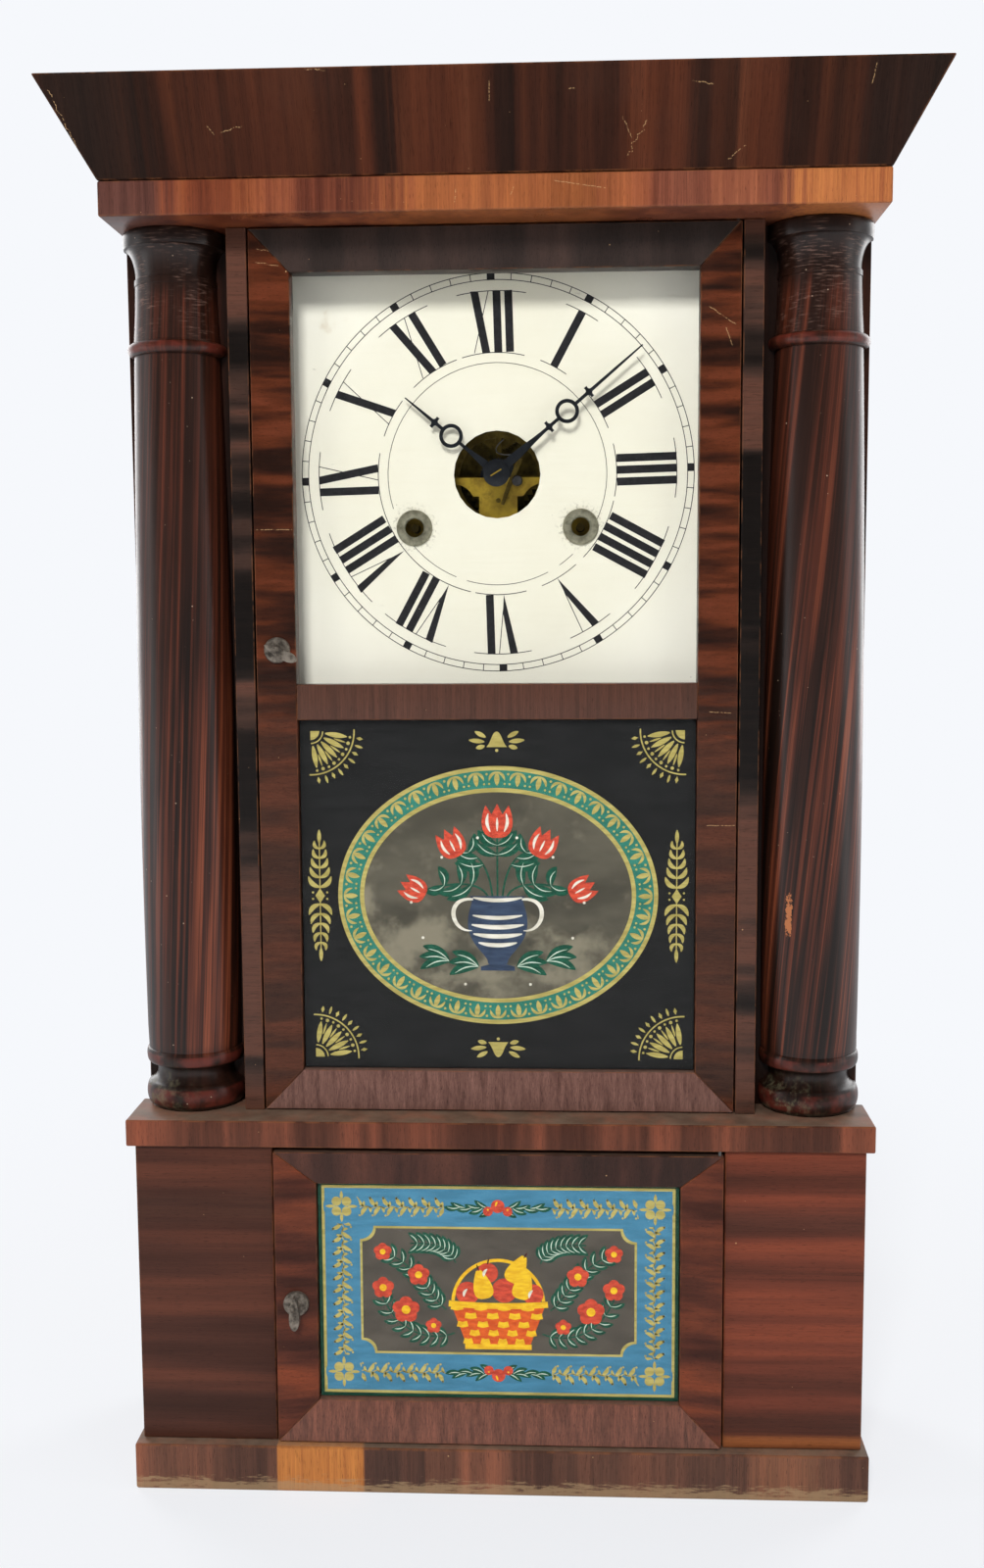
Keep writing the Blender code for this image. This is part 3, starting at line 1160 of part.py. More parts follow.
def build_weight(kind, side):
    """A cast weight with its loop, on its cord."""
    x = side * WEIGHT_X
    top = PULLEY[1] - WEIGHT_TOP_DROP
    block = board(kind + "_weight", x - WEIGHT_WIDTH / 2, x + WEIGHT_WIDTH / 2, CORD_Y - WEIGHT_DEPTH / 2,
                  CORD_Y + WEIGHT_DEPTH / 2, top - WEIGHT_HEIGHT, top, IRON)
    ease = block.modifiers.new("ease", "BEVEL")
    ease.width = WEIGHT_BEVEL
    ease.segments = 1
    ring = [(CORD_Y - y, r) for y, r in circle(0.0, LOOP_RADIUS, LOOP_WIRE, 8)]
    fuse(block, turned("loop", ring, 12, IRON, (x, top + LOOP_RADIUS), closed=True))
    knot = top + 2 * LOOP_RADIUS + LOOP_WIRE + GAP
    tube(kind + "_cord_drop", [(x, CORD_Y, PULLEY[1] - GAP), (x, CORD_Y, knot)], CORD_RADIUS, CORD)
    tube(kind + "_cord_lead", [(side * px, CORD_Y, pz) for px, pz in cord_route()], CORD_RADIUS, CORD)


# Hands and motion work


def hand_outline(length, ring_at, crosses, waist_at, waist_half):
    """A hand that points up from its boss: waist, ring, crosses and a needle tip."""
    stem = HAND_STEM
    neck = stem + (HAND_CROSS_REACH - stem) / 2
    thin = HAND_CROSS_HALF / 2
    first = min([*crosses, ring_at - HAND_RING_OUTER]) - 2 * HAND_CROSS_HALF
    half = arc(0.0, 0.0, HAND_BOSS, -90.0, 60.0, 6) + [(waist_half, waist_at), (stem, first)]
    for at in sorted([*crosses, ring_at]):
        if at == ring_at:
            lean = math.degrees(math.asin(stem / HAND_RING_OUTER))
            half += arc(0.0, at, HAND_RING_OUTER, lean - 90.0, 90.0 - lean, 8)
        else:
            half += [(stem, at - thin), (neck, at - thin), (HAND_CROSS_REACH, at - HAND_CROSS_HALF),
                     (HAND_CROSS_REACH, at + HAND_CROSS_HALF), (neck, at + thin), (stem, at + thin)]
    half.append((HAND_TIP, length))
    return half + [mirror(point) for point in reversed(half[1:])]


def build_hands():
    """Minute hand on its cannon, hour hand on its pipe, and the minute wheel that gears them."""
    minute_front = BOARD_FACE - MINUTE_HAND_TO_BOARD
    hour_front = BOARD_FACE - HOUR_HAND_TO_BOARD
    hub_front = minute_front - HUB_THICKNESS
    hour_wheel = INNER_FACE + HOUR_WHEEL_PLANE
    cannon_front = INNER_FACE + CANNON_PLANE
    cannon_length = WHEEL_THICKNESS + 3 * GAP
    cannon_back = cannon_front + cannon_length
    bore = CENTRE_ARBOR_RADIUS + GAP
    pipe_bore = CANNON_OUTER + GAP
    toward = bearing_angle(CENTRE, MOTION)
    back_toward = toward + 180.0
    profile = [(hub_front, 0.0), (hub_front, HUB_RADIUS - HUB_THICKNESS / 2),
               (hub_front + HUB_THICKNESS / 2, HUB_RADIUS), (minute_front + GAP, HUB_RADIUS),
               (minute_front + GAP, CANNON_OUTER), (cannon_back - GAP, CANNON_OUTER),
               (cannon_back - GAP, bore), (hour_front - GAP, bore), (hour_front - GAP, 0.0)]
    cannon = turned("minute_hand", profile, 16, BLUED_STEEL, CENTRE)
    line = hand_outline(MINUTE_HAND_LENGTH, MINUTE_RING_AT, MINUTE_CROSSES, MINUTE_WAIST_AT,
                        MINUTE_WAIST_HALF)
    ring = circle(0.0, MINUTE_RING_AT, HAND_RING_INNER, 12)
    lines = [turn_outline(shape, MINUTE_HAND_ANGLE) for shape in (line, ring)]
    sheet = front_sheet("sheet", lines, minute_front, minute_front + HAND_SHEET, BLUED_STEEL, CENTRE)
    pinion = gear(CANNON_LEAVES, CANNON_MODULE, CENTRE, toward, cannon_front, cannon_length,
                  [circle(0.0, 0.0, (bore + CANNON_OUTER) / 2)])
    fuse(cannon, sheet, pinion)
    pipe_back = hour_wheel + WHEEL_THICKNESS - GAP
    pipe_front = hour_front + GAP
    profile = [(pipe_front, pipe_bore), (pipe_front, HOUR_PIPE_OUTER), (pipe_back, HOUR_PIPE_OUTER),
               (pipe_back, pipe_bore)]
    pipe = turned("hour_hand", profile, 16, BLUED_STEEL, CENTRE, closed=True)
    line = hand_outline(HOUR_HAND_LENGTH, HOUR_RING_AT, HOUR_CROSSES, HOUR_WAIST_AT, HOUR_WAIST_HALF)
    ring = circle(0.0, HOUR_RING_AT, HAND_RING_INNER, 12)
    seat = circle(0.0, 0.0, (pipe_bore + HOUR_PIPE_OUTER) / 2)
    lines = [turn_outline(shape, HOUR_HAND_ANGLE) for shape in (line, ring, seat)]
    sheet = front_sheet("sheet", lines, hour_front, hour_front + HAND_SHEET, BLUED_STEEL, CENTRE)
    wheel = gear(HOUR_WHEEL_TEETH, HOUR_MODULE, CENTRE, toward, hour_wheel, WHEEL_THICKNESS, [seat])
    fuse(pipe, sheet, wheel)
    wheel = gear(MINUTE_WHEEL_TEETH, CANNON_MODULE, MOTION, back_toward + 180.0 / MINUTE_WHEEL_TEETH,
                 cannon_front + GAP, WHEEL_THICKNESS)
    pinion = gear(MINUTE_PINION_LEAVES, HOUR_MODULE, MOTION, back_toward + 180.0 / MINUTE_PINION_LEAVES,
                  hour_wheel - GAP, WHEEL_THICKNESS + 3 * GAP)
    fuse(arbor("minute_wheel", MOTION, FRONT_PLATE + GAP, cannon_back + GAP, ARBOR_RADIUS), wheel, pinion)


def build_clock():
    """Build every piece of the clock."""
    build_base()
    build_carcass()
    build_posts()
    build_columns()
    build_crown()
    build_doors()
    build_dial()
    build_plates()
    build_drum("time_drum", DRUM, SECOND)
    build_drum("strike_drum", mirror(DRUM), mirror(SECOND))
    build_second("second_wheel", SECOND, DRUM, 0)
    build_second("pin_wheel", mirror(SECOND), mirror(DRUM), LIFTING_PINS)
    build_going_train()
    build_fly()
    build_verge()
    build_pendulum()
    build_hammer()
    build_gong()
    for kind, side in (("time", 1), ("strike", -1)):
        build_pulley(kind, side)
        build_weight(kind, side)
    build_hands()


build_clock()
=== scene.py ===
"""Looks of a column and cornice shelf clock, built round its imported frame."""

import logging
import math
from dataclasses import dataclass, field
from enum import Enum
from typing import Iterable, Optional, Sequence, Union

import bmesh
import bpy
from mathutils import Matrix, Vector
from mathutils.geometry import tessellate_polygon


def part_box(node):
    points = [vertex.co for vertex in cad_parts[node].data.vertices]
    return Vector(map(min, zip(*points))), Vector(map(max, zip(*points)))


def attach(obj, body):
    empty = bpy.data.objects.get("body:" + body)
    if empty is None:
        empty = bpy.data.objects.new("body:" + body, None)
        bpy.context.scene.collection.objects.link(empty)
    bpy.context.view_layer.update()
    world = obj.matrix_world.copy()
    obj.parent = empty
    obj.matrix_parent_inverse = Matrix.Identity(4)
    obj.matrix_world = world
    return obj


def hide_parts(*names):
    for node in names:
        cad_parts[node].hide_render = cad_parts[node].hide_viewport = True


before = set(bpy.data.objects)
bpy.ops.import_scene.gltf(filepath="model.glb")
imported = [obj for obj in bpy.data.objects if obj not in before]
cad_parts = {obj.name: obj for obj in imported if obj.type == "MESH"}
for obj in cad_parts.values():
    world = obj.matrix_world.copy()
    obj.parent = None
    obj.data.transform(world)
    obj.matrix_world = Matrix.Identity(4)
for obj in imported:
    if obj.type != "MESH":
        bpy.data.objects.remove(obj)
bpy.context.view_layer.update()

LOG = logging.getLogger("clock")

# Lengths in metres: one millimetre, the distance under which points are one, and a coat of paint
MM = 0.001
HAIR = 0.000005
FILM = 0.00002

# X and Z of the dial's centre
CENTRE = (0.0, 0.625)

Number = Union[int, float]
Value = Union["Link", int, float]
Point = tuple[float, float]
Spot = tuple[float, float, float]
Tint = tuple[float, float, float, float]
Loop = list[Point]
Shape = list[Loop]


class Axis(Enum):
    """The three directions of the clock's frame."""

    X = 0
    Y = 1
    Z = 2


class Slot(Enum):
    """The record's material slots."""

    VENEER = "veneer"
    DARK_VENEER = "dark_veneer"
    PINE = "pine"
    GRAINED_PAINT = "grained_paint"
    DIAL_PAINT = "dial_paint"
    BRASS = "brass"
    STEEL = "steel"
    DARK_STEEL = "dark_steel"
    IRON = "iron"
    CORD = "cord"
    CLEAR_GLASS = "clear_glass"
    PAINTED_GLASS = "painted_glass"


def tint(code: str) -> Tint:
    """Give a colour for Blender from its six hex digits on a screen."""
    parts = [int(code[k:k + 2], 16) / 255 for k in (0, 2, 4)]
    red, green, blue = [p / 12.92 if p <= 0.04045 else ((p + 0.055) / 1.055) ** 2.4 for p in parts]
    return (red, green, blue, 1.0)


# Shader sums


class Link:
    """A number or colour that comes out of a shader node and takes part in sums."""

    def __init__(self, shader: "Shader", socket: bpy.types.NodeSocket) -> None:
        """Wrap an output socket of a shader's node."""
        self.shader = shader
        self.socket = socket

    def sum(self, operation: str, other: Value, swap: bool = False) -> "Link":
        """Add a Math node on this and another value, which comes first where swap is true."""
        pair = (other, self) if swap else (self, other)
        return self.shader.link("ShaderNodeMath", {"operation": operation}, pair)

    def __add__(self, other: Value) -> "Link":
        """Add a value."""
        return self.sum("ADD", other)

    def __sub__(self, other: Value) -> "Link":
        """Take a value away."""
        return self.sum("SUBTRACT", other)

    def __rsub__(self, other: Number) -> "Link":
        """Take this away from a plain number."""
        return self.sum("SUBTRACT", other, swap=True)

    def __mul__(self, other: Value) -> "Link":
        """Multiply by a value."""
        return self.sum("MULTIPLY", other)

    __radd__ = __add__
    __rmul__ = __mul__

    def over(self, edge: Number) -> "Link":
        """Give 1 where this is over an edge, and 0 elsewhere."""
        return self.sum("GREATER_THAN", edge)

    def at_most(self, other: Value) -> "Link":
        """Give the smaller of two values."""
        return self.sum("MINIMUM", other)

    def at_least(self, other: Value) -> "Link":
        """Give the larger of two values."""
        return self.sum("MAXIMUM", other)

    def size(self) -> "Link":
        """Give the value without its sign."""
        return self.sum("ABSOLUTE", 0.0)

    def ease(self, low: Number, high: Number) -> "Link":
        """Give a smooth step from 0 at low to 1 at high, or the other way where high is the smaller."""
        ends = (high, low, 1.0, 0.0) if low > high else (low, high, 0.0, 1.0)
        return self.shader.link("ShaderNodeMapRange", {"interpolation_type": "SMOOTHSTEP"}, (self, *ends))

    def stain(self, share: Value, code: str) -> "Link":
        """Lay a plain colour over this one, as far as a share says."""
        return self.shader.mix(share, self, tint(code))

    def dim(self, share: Value) -> "Link":
        """Make this colour darker or lighter."""
        return self.shader.link("ShaderNodeVectorMath", {"operation": "SCALE"}, {0: self, "Scale": share})

    def axis(self, axis: Axis) -> "Link":
        """Give one coordinate of a place."""
        return self.shader.link("ShaderNodeSeparateXYZ", None, (self,), axis.value)

    def away(self, x: float, y: float, z: float) -> "Link":
        """Give how far this place is from another."""
        return self.shader.link("ShaderNodeVectorMath", {"operation": "DISTANCE"}, (self, (x, y, z)), 1)


Colour = Union[Link, Tint]


class Shader:
    """The node tree of a material or of the surroundings, with one method that adds any node."""

    def __init__(self, block: Union[bpy.types.Material, bpy.types.World]) -> None:
        """Empty the block's node tree."""
        self.block = block
        self.block.use_nodes = True
        self.tree = self.block.node_tree
        self.tree.nodes.clear()

    def node(self, kind: str, settings: Optional[dict] = None,
             values: Union[dict, Sequence, None] = None) -> bpy.types.Node:
        """Add a node.

        Args:
            kind: The node's type.
            settings: Its own settings, which are set first; "stops" are a ramp's places and colours.
            values: Values or links of its input sockets, in order or by name or number.

        Returns:
            The node.
        """
        made = self.tree.nodes.new(kind)
        for key, value in (settings or {}).items():
            if key != "stops":
                setattr(made, key, value)
                continue
            for place, _ in value[2:]:
                made.color_ramp.elements.new(place)
            for element, (place, colour) in zip(made.color_ramp.elements, value):
                element.position = place
                element.color = colour
        for key, value in values.items() if isinstance(values, dict) else enumerate(values or ()):
            if isinstance(value, Link):
                self.tree.links.new(value.socket, made.inputs[key])
            else:
                made.inputs[key].default_value = value
        return made

    def link(self, kind: str, settings: Optional[dict] = None, values: Union[dict, Sequence, None] = None,
             output: Union[int, str] = 0) -> Link:
        """Add a node and give one of its outputs."""
        return Link(self, self.node(kind, settings, values).outputs[output])

    def place(self) -> Link:
        """Give the place in the clock's frame."""
        return self.link("ShaderNodeTexCoord", output="Object")

    def noise(self, place: Link, scale: Union[Number, Sequence[float]] = 1.0, detail: float = 2.0,
              rough: float = 0.5, warp: float = 0.0, shift: Spot = (0.0, 0.0, 0.0)) -> Link:
        """Give smooth noise from 0 to 1, at one scale, or from a shift at one scale for each axis."""
        if not isinstance(scale, (int, float)):
            place = self.link("ShaderNodeMapping", None, {"Vector": place, "Scale": scale, "Location": shift})
            scale = 1.0
        values = {"Vector": place, "Scale": scale, "Detail": detail, "Roughness": rough, "Distortion": warp}
        return self.link("ShaderNodeTexNoise", None, values)

    def specks(self, place: Link, cell: float, radius: float, share: float) -> Link:
        """Give small dots.

        Args:
            place: Where the dots are laid out.
            cell: Size of the cells that may hold a dot.
            radius: A dot's radius.
            share: Share of the cells that hold a dot.

        Returns:
            1 inside a dot and 0 elsewhere.
        """
        cells = self.node("ShaderNodeTexVoronoi", None, {"Vector": place, "Scale": 1 / cell})
        near = Link(self, cells.outputs["Distance"]).ease(radius / cell, radius / cell / 2)
        chosen = self.link("ShaderNodeSeparateColor", None, (Link(self, cells.outputs["Color"]),))
        return near * chosen.over(1 - share)

    def ramp(self, value: Value, *codes: str) -> Link:
        """Colour a value through evenly spaced stops."""
        stops = [(k / (len(codes) - 1), tint(code)) for k, code in enumerate(codes)]
        return self.link("ShaderNodeValToRGB", {"stops": stops}, (value,))

    def mix(self, share: Value, first: Colour, second: Colour) -> Link:
        """Blend two colours."""
        return self.link("ShaderNodeMix", {"data_type": "RGBA"}, {0: share, 6: first, 7: second}, 2)

    def wear(self) -> Link:
        """Give 1 on the eased edges of a piece and 0 elsewhere."""
        return self.link("ShaderNodeAttribute", {"attribute_name": "wear"}, None, "Fac")

    def upward(self) -> Link:
        """Give 1 on faces that look straight up."""
        return self.link("ShaderNodeNewGeometry", output="Normal").axis(Axis.Z).ease(0.9, 0.97)

    def rays(self, *kinds: str) -> Link:
        """Give 1 for the kinds of ray that are named, such as Camera."""
        node = self.node("ShaderNodeLightPath")
        seen = [Link(self, node.outputs[f"Is {kind} Ray"]) for kind in kinds]
        for other in seen[1:]:
            seen[0] = seen[0].at_least(other)
        return seen[0]

    def relief(self, height: Value, depth: float, strength: float = 1.0) -> Link:
        """Turn a height into a surface normal."""
        values = {"Height": height, "Distance": depth, "Strength": strength}
        return self.link("ShaderNodeBump", None, values, "Normal")

    def surface(self, **values: Union[Value, Colour]) -> bpy.types.Material:
        """Finish the material with a Principled surface, from its sockets' names with _ for spaces."""
        sockets = {key.replace("_", " "): value for key, value in values.items()}
        self.node("ShaderNodeOutputMaterial", None, (self.link("ShaderNodeBsdfPrincipled", None, sockets),))
        return self.block


# Finishes


@dataclass(frozen=True)
class Patch:
    """A stretch of veneer in a colour of its own."""

    axis: Axis
    low: float
    high: float
    light: str
    dark: str
    share: float = 0.85
    soft: float = 0.006


@dataclass(frozen=True)
class Scratch:
    """One pale scratch on a front face, about x and z, turned from level, that bends to either side."""

    x: float
    z: float
    length: float
    degrees: float
    bend: float = 0.001

    def mask(self, shader: Shader, place: Link) -> Link:
        """Give 1 on the scratch and 0 elsewhere."""
        values = {"Vector": place, "Location": (self.x, 0.0, self.z),
                  "Rotation": (0.0, math.radians(-self.degrees), 0.0)}
        own = shader.link("ShaderNodeMapping", {"vector_type": "TEXTURE"}, values)
        wander = shader.noise(own, (260.0, 0.0, 0.0), shift=(self.x * 90, 0.0, 0.0)) - 0.5
        jitter = shader.noise(own, (1500.0, 0.0, 0.0), shift=(self.x * 70, 0.0, 0.0)) - 0.5
        across = (own.axis(Axis.Z) + wander * self.bend + jitter * 0.0007).size().ease(0.00032, 0.00012)
        broken = shader.noise(own, 900.0).ease(0.38, 0.55) * 0.8
        return across * broken * own.axis(Axis.X).size().ease(self.length / 2, self.length / 2 - MM)


@dataclass(frozen=True)
class Finish:
    """A finish that is made once and used on any number of pieces."""

    name: str
    slot: Slot = field(default=Slot.VENEER, kw_only=True)

    def material(self) -> bpy.types.Material:
        """Give the finish's material, made on its first use."""
        known = bpy.data.materials.get(self.name)
        return known or self.build(Shader(bpy.data.materials.new(self.name)))

    def build(self, shader: Shader) -> bpy.types.Material:
        """Build the material's nodes."""
        raise NotImplementedError


@dataclass(frozen=True)
class Veneer(Finish):
    """Polished veneer whose figure runs along one axis, and through a sloping board's depth if asked."""

    grain: Axis = Axis.X
    palette: tuple[str, ...] = ("1c0d0a", "34150f", "531f15", "6b2b1c")
    band: float = 0.022
    seed: float = 0.0
    patches: tuple[Patch, ...] = ()
    scratches: tuple[Scratch, ...] = ()
    scuff: float = 0.0
    dust: float = 0.25
    gloss: float = 0.30
    low: float = 0.34
    high: float = 0.68
    streaky: float = 0.45
    specks: float = 1.0
    through: bool = False
    polish: float = 0.16

    def lines(self, shader: Shader, place: Link, slow: float, fine: float, detail: float, rough: float = 0.5,
              warp: float = 0.0) -> Link:
        """Give noise drawn out along the grain, slow along it and fine across it."""
        scale = [1 / fine] * 3
        for axis in (self.grain, Axis.Y) if self.through else (self.grain,):
            scale[axis.value] = 1 / slow
        shift = (self.seed, self.seed * 1.7, self.seed * 0.6)
        return shader.noise(place, scale, detail, rough, warp, shift)

    def figure(self, shader: Shader, place: Link, streak: Link, fibre: Link) -> Link:
        """Colour the bands of the figure and the patches."""
        bands = self.lines(shader, place, 0.60, self.band, 3.0, 0.55, 0.12)
        tone = bands.ease(self.low, self.high) * 0.85 + (streak - 0.45) * self.streaky
        colour = shader.ramp(tone, *self.palette)
        for patch in self.patches:
            spot = place.axis(patch.axis) + (streak - 0.5) * patch.soft * 1.5
            half = patch.soft / 2
            inside = spot.ease(patch.low - half, patch.low + half)
            inside = inside * spot.ease(patch.high + half, patch.high - half)
            own = shader.ramp(streak * 1.4 + fibre * 0.5 - 0.45, patch.dark, patch.light)
            colour = shader.mix(inside * patch.share, colour, own)
        return colour

    def marks(self, shader: Shader, place: Link, colour: Link) -> tuple[Link, Link]:
        """Add the chips, scratches and worn foot, and give the colour and where they are."""
        chips = shader.specks(place, 0.017, 0.0006, 0.35 * self.specks)
        chips = chips.at_least(shader.specks(place, 0.006, 0.00028, 0.10 * self.specks))
        for scratch in self.scratches:
            chips = chips.at_least(scratch.mask(shader, place))
        colour = colour.stain(chips * 0.7, "b8946a")
        if self.scuff:
            rub = shader.noise(place, (70.0, 70.0, 520.0), 5.0, 0.75)
            worn = (rub + place.axis(Axis.Z).ease(self.scuff, 0.0) * 0.5).ease(0.80, 0.94)
            colour = colour.stain(worn * 0.6, "9c8262")
            chips = chips.at_least(worn)
        return colour, chips

    def build(self, shader: Shader) -> bpy.types.Material:
        """Build the figure, fibres, marks, worn edges, dust and polish."""
        place = shader.place()
        streak = self.lines(shader, place, 0.20, 0.0032, 4.0, 0.6)
        fibre = self.lines(shader, place, 0.03, 0.0007, 3.0, 0.6)
        pores = self.lines(shader, place, 0.006, 0.00035, 1.0)
        colour = self.figure(shader, place, streak, fibre).dim(0.70 + fibre * 0.60)
        haze = shader.noise(place, 14.0, 3.0, 0.6)
        colour = colour.dim(1 - pores.ease(0.62, 0.7) * 0.4).stain(haze.ease(0.5, 0.8) * 0.02, "8a7468")
        edge = shader.wear() * shader.noise(place, 90.0, 4.0, 0.7).ease(0.42, 0.60)
        colour, chips = self.marks(shader, place, colour.stain(edge * 0.45, "7d4e30"))
        if self.dust:
            cover = shader.noise(place, 60.0, 4.0, 0.7).ease(0.3, 0.75) * self.dust + self.dust
            colour = colour.stain(shader.upward() * cover, "8a7866")
        rough = self.gloss + haze.ease(0.35, 0.8) * 0.14 + (edge + chips) * 0.2 + fibre * 0.06
        normal = shader.relief(shader.noise(place, 26.0) + (fibre + pores) * 0.03, 0.0008, 0.5)
        return shader.surface(Base_Color=colour, Roughness=rough, Normal=normal,
                              Specular_IOR_Level=self.polish)


@dataclass(frozen=True)
class GrainedPaint(Finish):
    """Satin paint grained with long leaning streaks, on a turning's own surface map."""

    seed: float = 0.0
    lean: float = 0.08
    rubbed: Point = (0.0, 0.0)
    slot: Slot = field(default=Slot.GRAINED_PAINT, kw_only=True)

    def streaks(self, shader: Shader, across: Link, up: Link) -> Link:
        """Colour the long leaning streaks, plainer near the neck."""
        spread = shader.link("ShaderNodeCombineXYZ", None, (across - up * self.lean, up, self.seed))
        broad = shader.noise(spread, (95.0, 1.3, 1.0), 3.0, 0.6, 0.2)
        thin = shader.noise(spread, (430.0, 3.0, 1.0), 4.0, 0.65, 0.2)
        cloud = shader.noise(spread, (40.0, 9.0, 1.0), 3.0, 0.6, shift=(3.0, 5.0, 0.0))
        fade = up.ease(0.60, 0.46)
        turned = up.ease(0.278, 0.262).at_least(up.ease(0.722, 0.742))
        tone = (broad.ease(0.40, 0.64) * 0.48 + thin.ease(0.41, 0.62) * 0.55) * (fade * 0.5 + 0.5)
        tone = (tone + (1 - fade) * 0.15 + (cloud - 0.5) * 0.3) * (1 - turned * 0.75)
        return shader.ramp(tone, "150c08", "28150e", "442015", "60301e", "793f29")

    def build(self, shader: Shader) -> bpy.types.Material:
        """Build the streaks, rubs, flecks, dust and sheen."""
        place = shader.place()
        flat = shader.link("ShaderNodeUVMap", {"uv_map": "grain"})
        across, up = flat.axis(Axis.X), flat.axis(Axis.Y)
        hatch = shader.noise(flat, (110.0, 900.0, 1.0), 3.0, 0.6)
        neck = up.ease(0.690, 0.712) * hatch.ease(0.50, 0.68) * shader.noise(place, 55.0).ease(0.42, 0.60)
        colour = self.streaks(shader, across, up).stain(neck * 0.34, "8c6d60")
        edge = shader.wear() * shader.noise(place, 70.0, 3.0, 0.6).ease(0.35, 0.65)
        grime = shader.noise(place, 150.0, 4.0, 0.7).ease(0.48, 0.66)
        low = up.ease(0.272, 0.236) * grime * across.ease(0.060, 0.020)
        colour = colour.stain(edge * 0.55, "6a2a20").stain(low * 0.6, "6f6a52")
        if any(self.rubbed):
            aside = (across - self.rubbed[0]).size().ease(0.0062, 0.0010)
            away = (up - self.rubbed[1]).size().ease(0.034, 0.006)
            rub = aside * away * 0.7 + shader.noise(place, 260.0, 5.0, 0.8)
            colour = colour.stain(rub.ease(1.12, 1.17), "a2623a")
        dots = shader.specks(place, 0.011, 0.00055, 0.7).at_least(shader.specks(place, 0.005, 0.0003, 0.20))
        rough = 0.30 + low * 0.3 + hatch * 0.08 + shader.noise(place, 35.0, 3.0, 0.6) * 0.10
        normal = shader.relief(shader.noise(place, 30.0) + hatch * 0.04, 0.0006, 0.4)
        return shader.surface(Base_Color=colour.stain(dots * 0.7, "a8917c"), Roughness=rough, Normal=normal,
                              Specular_IOR_Level=0.34)


@dataclass(frozen=True)
class Pine(Finish):
    """Bare aged softwood."""

    grain: Axis = Axis.Z
    slot: Slot = field(default=Slot.PINE, kw_only=True)

    def build(self, shader: Shader) -> bpy.types.Material:
        """Build the growth lines, clouds of grime and saw marks."""
        place = shader.place()
        scale = [70.0, 70.0, 70.0]
        scale[self.grain.value] = 1.6
        lines = shader.noise(place, scale, 3.0, 0.5, 0.8)
        fine = shader.noise(place, [s * 9 for s in scale], 3.0, 0.6)
        grime = shader.noise(place, 9.0, 4.0, 0.6).ease(0.45, 0.75) * 0.45
        colour = shader.ramp(lines * 0.7 + fine * 0.3, "6b4a2c", "8d6a42", "a98355").stain(grime, "3f2c1c")
        return shader.surface(Base_Color=colour, Roughness=0.62 + fine * 0.25,
                              Normal=shader.relief(fine, 0.0006, 0.5))


@dataclass(frozen=True)
class DialPaint(Finish):
    """Aged cream paint on the dial's sheet, rubbed round its winding holes."""

    holes: tuple[Point, ...] = ()
    face: float = 0.00775
    slot: Slot = field(default=Slot.DIAL_PAINT, kw_only=True)

    def build(self, shader: Shader) -> bpy.types.Material:
        """Build the cream, brush marks, stains, smudges, hole rubs, top yellowing with painted shade, and
        painted corner light.
        """
        place = shader.place()
        brush = shader.noise(place, (30.0, 30.0, 480.0), 4.0, 0.6)
        cloud = shader.noise(place, 11.0, 4.0, 0.6)
        # Yellowed paint near the top, darkened and warmed further as painted shade: the shade of the door's
        # top rail on the dial.
        yellowing_and_top_shade = place.axis(Axis.Z).ease(0.715, 0.757) * (0.4 + brush * 0.8)
        # Painted light: the cream is paled away from the centre, towards the corners, to offset the shade
        # that the door frame casts there.
        pale = place.away(CENTRE[0], self.face, CENTRE[1]).ease(0.085, 0.160)
        stain = shader.noise(place, (26.0, 26.0, 26.0), 5.0, 0.65, shift=(3.1, 0.0, 1.4))
        smudge = shader.noise(place, (60.0, 60.0, 130.0), 5.0, 0.7, shift=(0.4, 0.0, 7.7))
        colour = shader.ramp(cloud * 0.6 + brush * 0.4, "dfdac3", "e7e4d0", "ecead9")
        colour = colour.stain(yellowing_and_top_shade * 0.45, "d2c493").stain(pale * 0.7, "faf8ea")
        colour = colour.stain(stain.ease(0.63, 0.80) * 0.45, "b89a66")
        colour = colour.stain(smudge.ease(0.68, 0.80) * 0.5, "8f8d80")
        for x, z in self.holes:
            rub = place.away(x, self.face, z).ease(0.0175, 0.0105)
            rub = rub * shader.noise(place, 520.0, 3.0, 0.7).ease(0.52, 0.62)
            colour = colour.stain(rub * 0.55, "7c7560")
        colour = colour.stain(shader.specks(place, 0.012, 0.0004, 0.25) * 0.6, "6d6654")
        normal = shader.relief(brush * 0.4 + cloud * 0.6, 0.0004, 0.35)
        return shader.surface(Base_Color=colour, Roughness=0.42 + cloud * 0.2, Normal=normal)


@dataclass(frozen=True)
class Paint(Finish):
    """A brushed paint, with worn specks that show what lies under it."""

    code: str
    dark: str
    under: str
    worn: float
    streak: Spot
    roughness: float
    metallic: float = 0.0
    cloud: str = ""
    slot: Slot = field(default=Slot.PAINTED_GLASS, kw_only=True)

    def build(self, shader: Shader) -> bpy.types.Material:
        """Build the brush marks, the worn specks and the clouded part."""
        place = shader.place()
        brush = shader.noise(place, self.streak, 3.0, 0.6)
        colour = shader.mix(brush.ease(0.3, 0.7), tint(self.dark), tint(self.code))
        if self.cloud:
            mist = shader.noise(place, 34.0, 4.0, 0.6) + place.axis(Axis.Z).ease(0.385, 0.310) * 0.16
            colour = colour.stain(mist.ease(0.52, 0.76) * 0.8, self.cloud)
        rubbed = shader.noise(place, 170.0, 5.0, 0.75).ease(0.70, 0.74) * self.worn
        bare = (shader.specks(place, 0.004, 0.00028, self.worn) + rubbed).at_most(1.0)
        return shader.surface(Base_Color=colour.stain(bare * 0.8, self.under), Metallic=self.metallic,
                              Roughness=self.roughness + brush * 0.12, Specular_IOR_Level=0.22,
                              Normal=shader.relief(brush, 0.0001, 0.5))


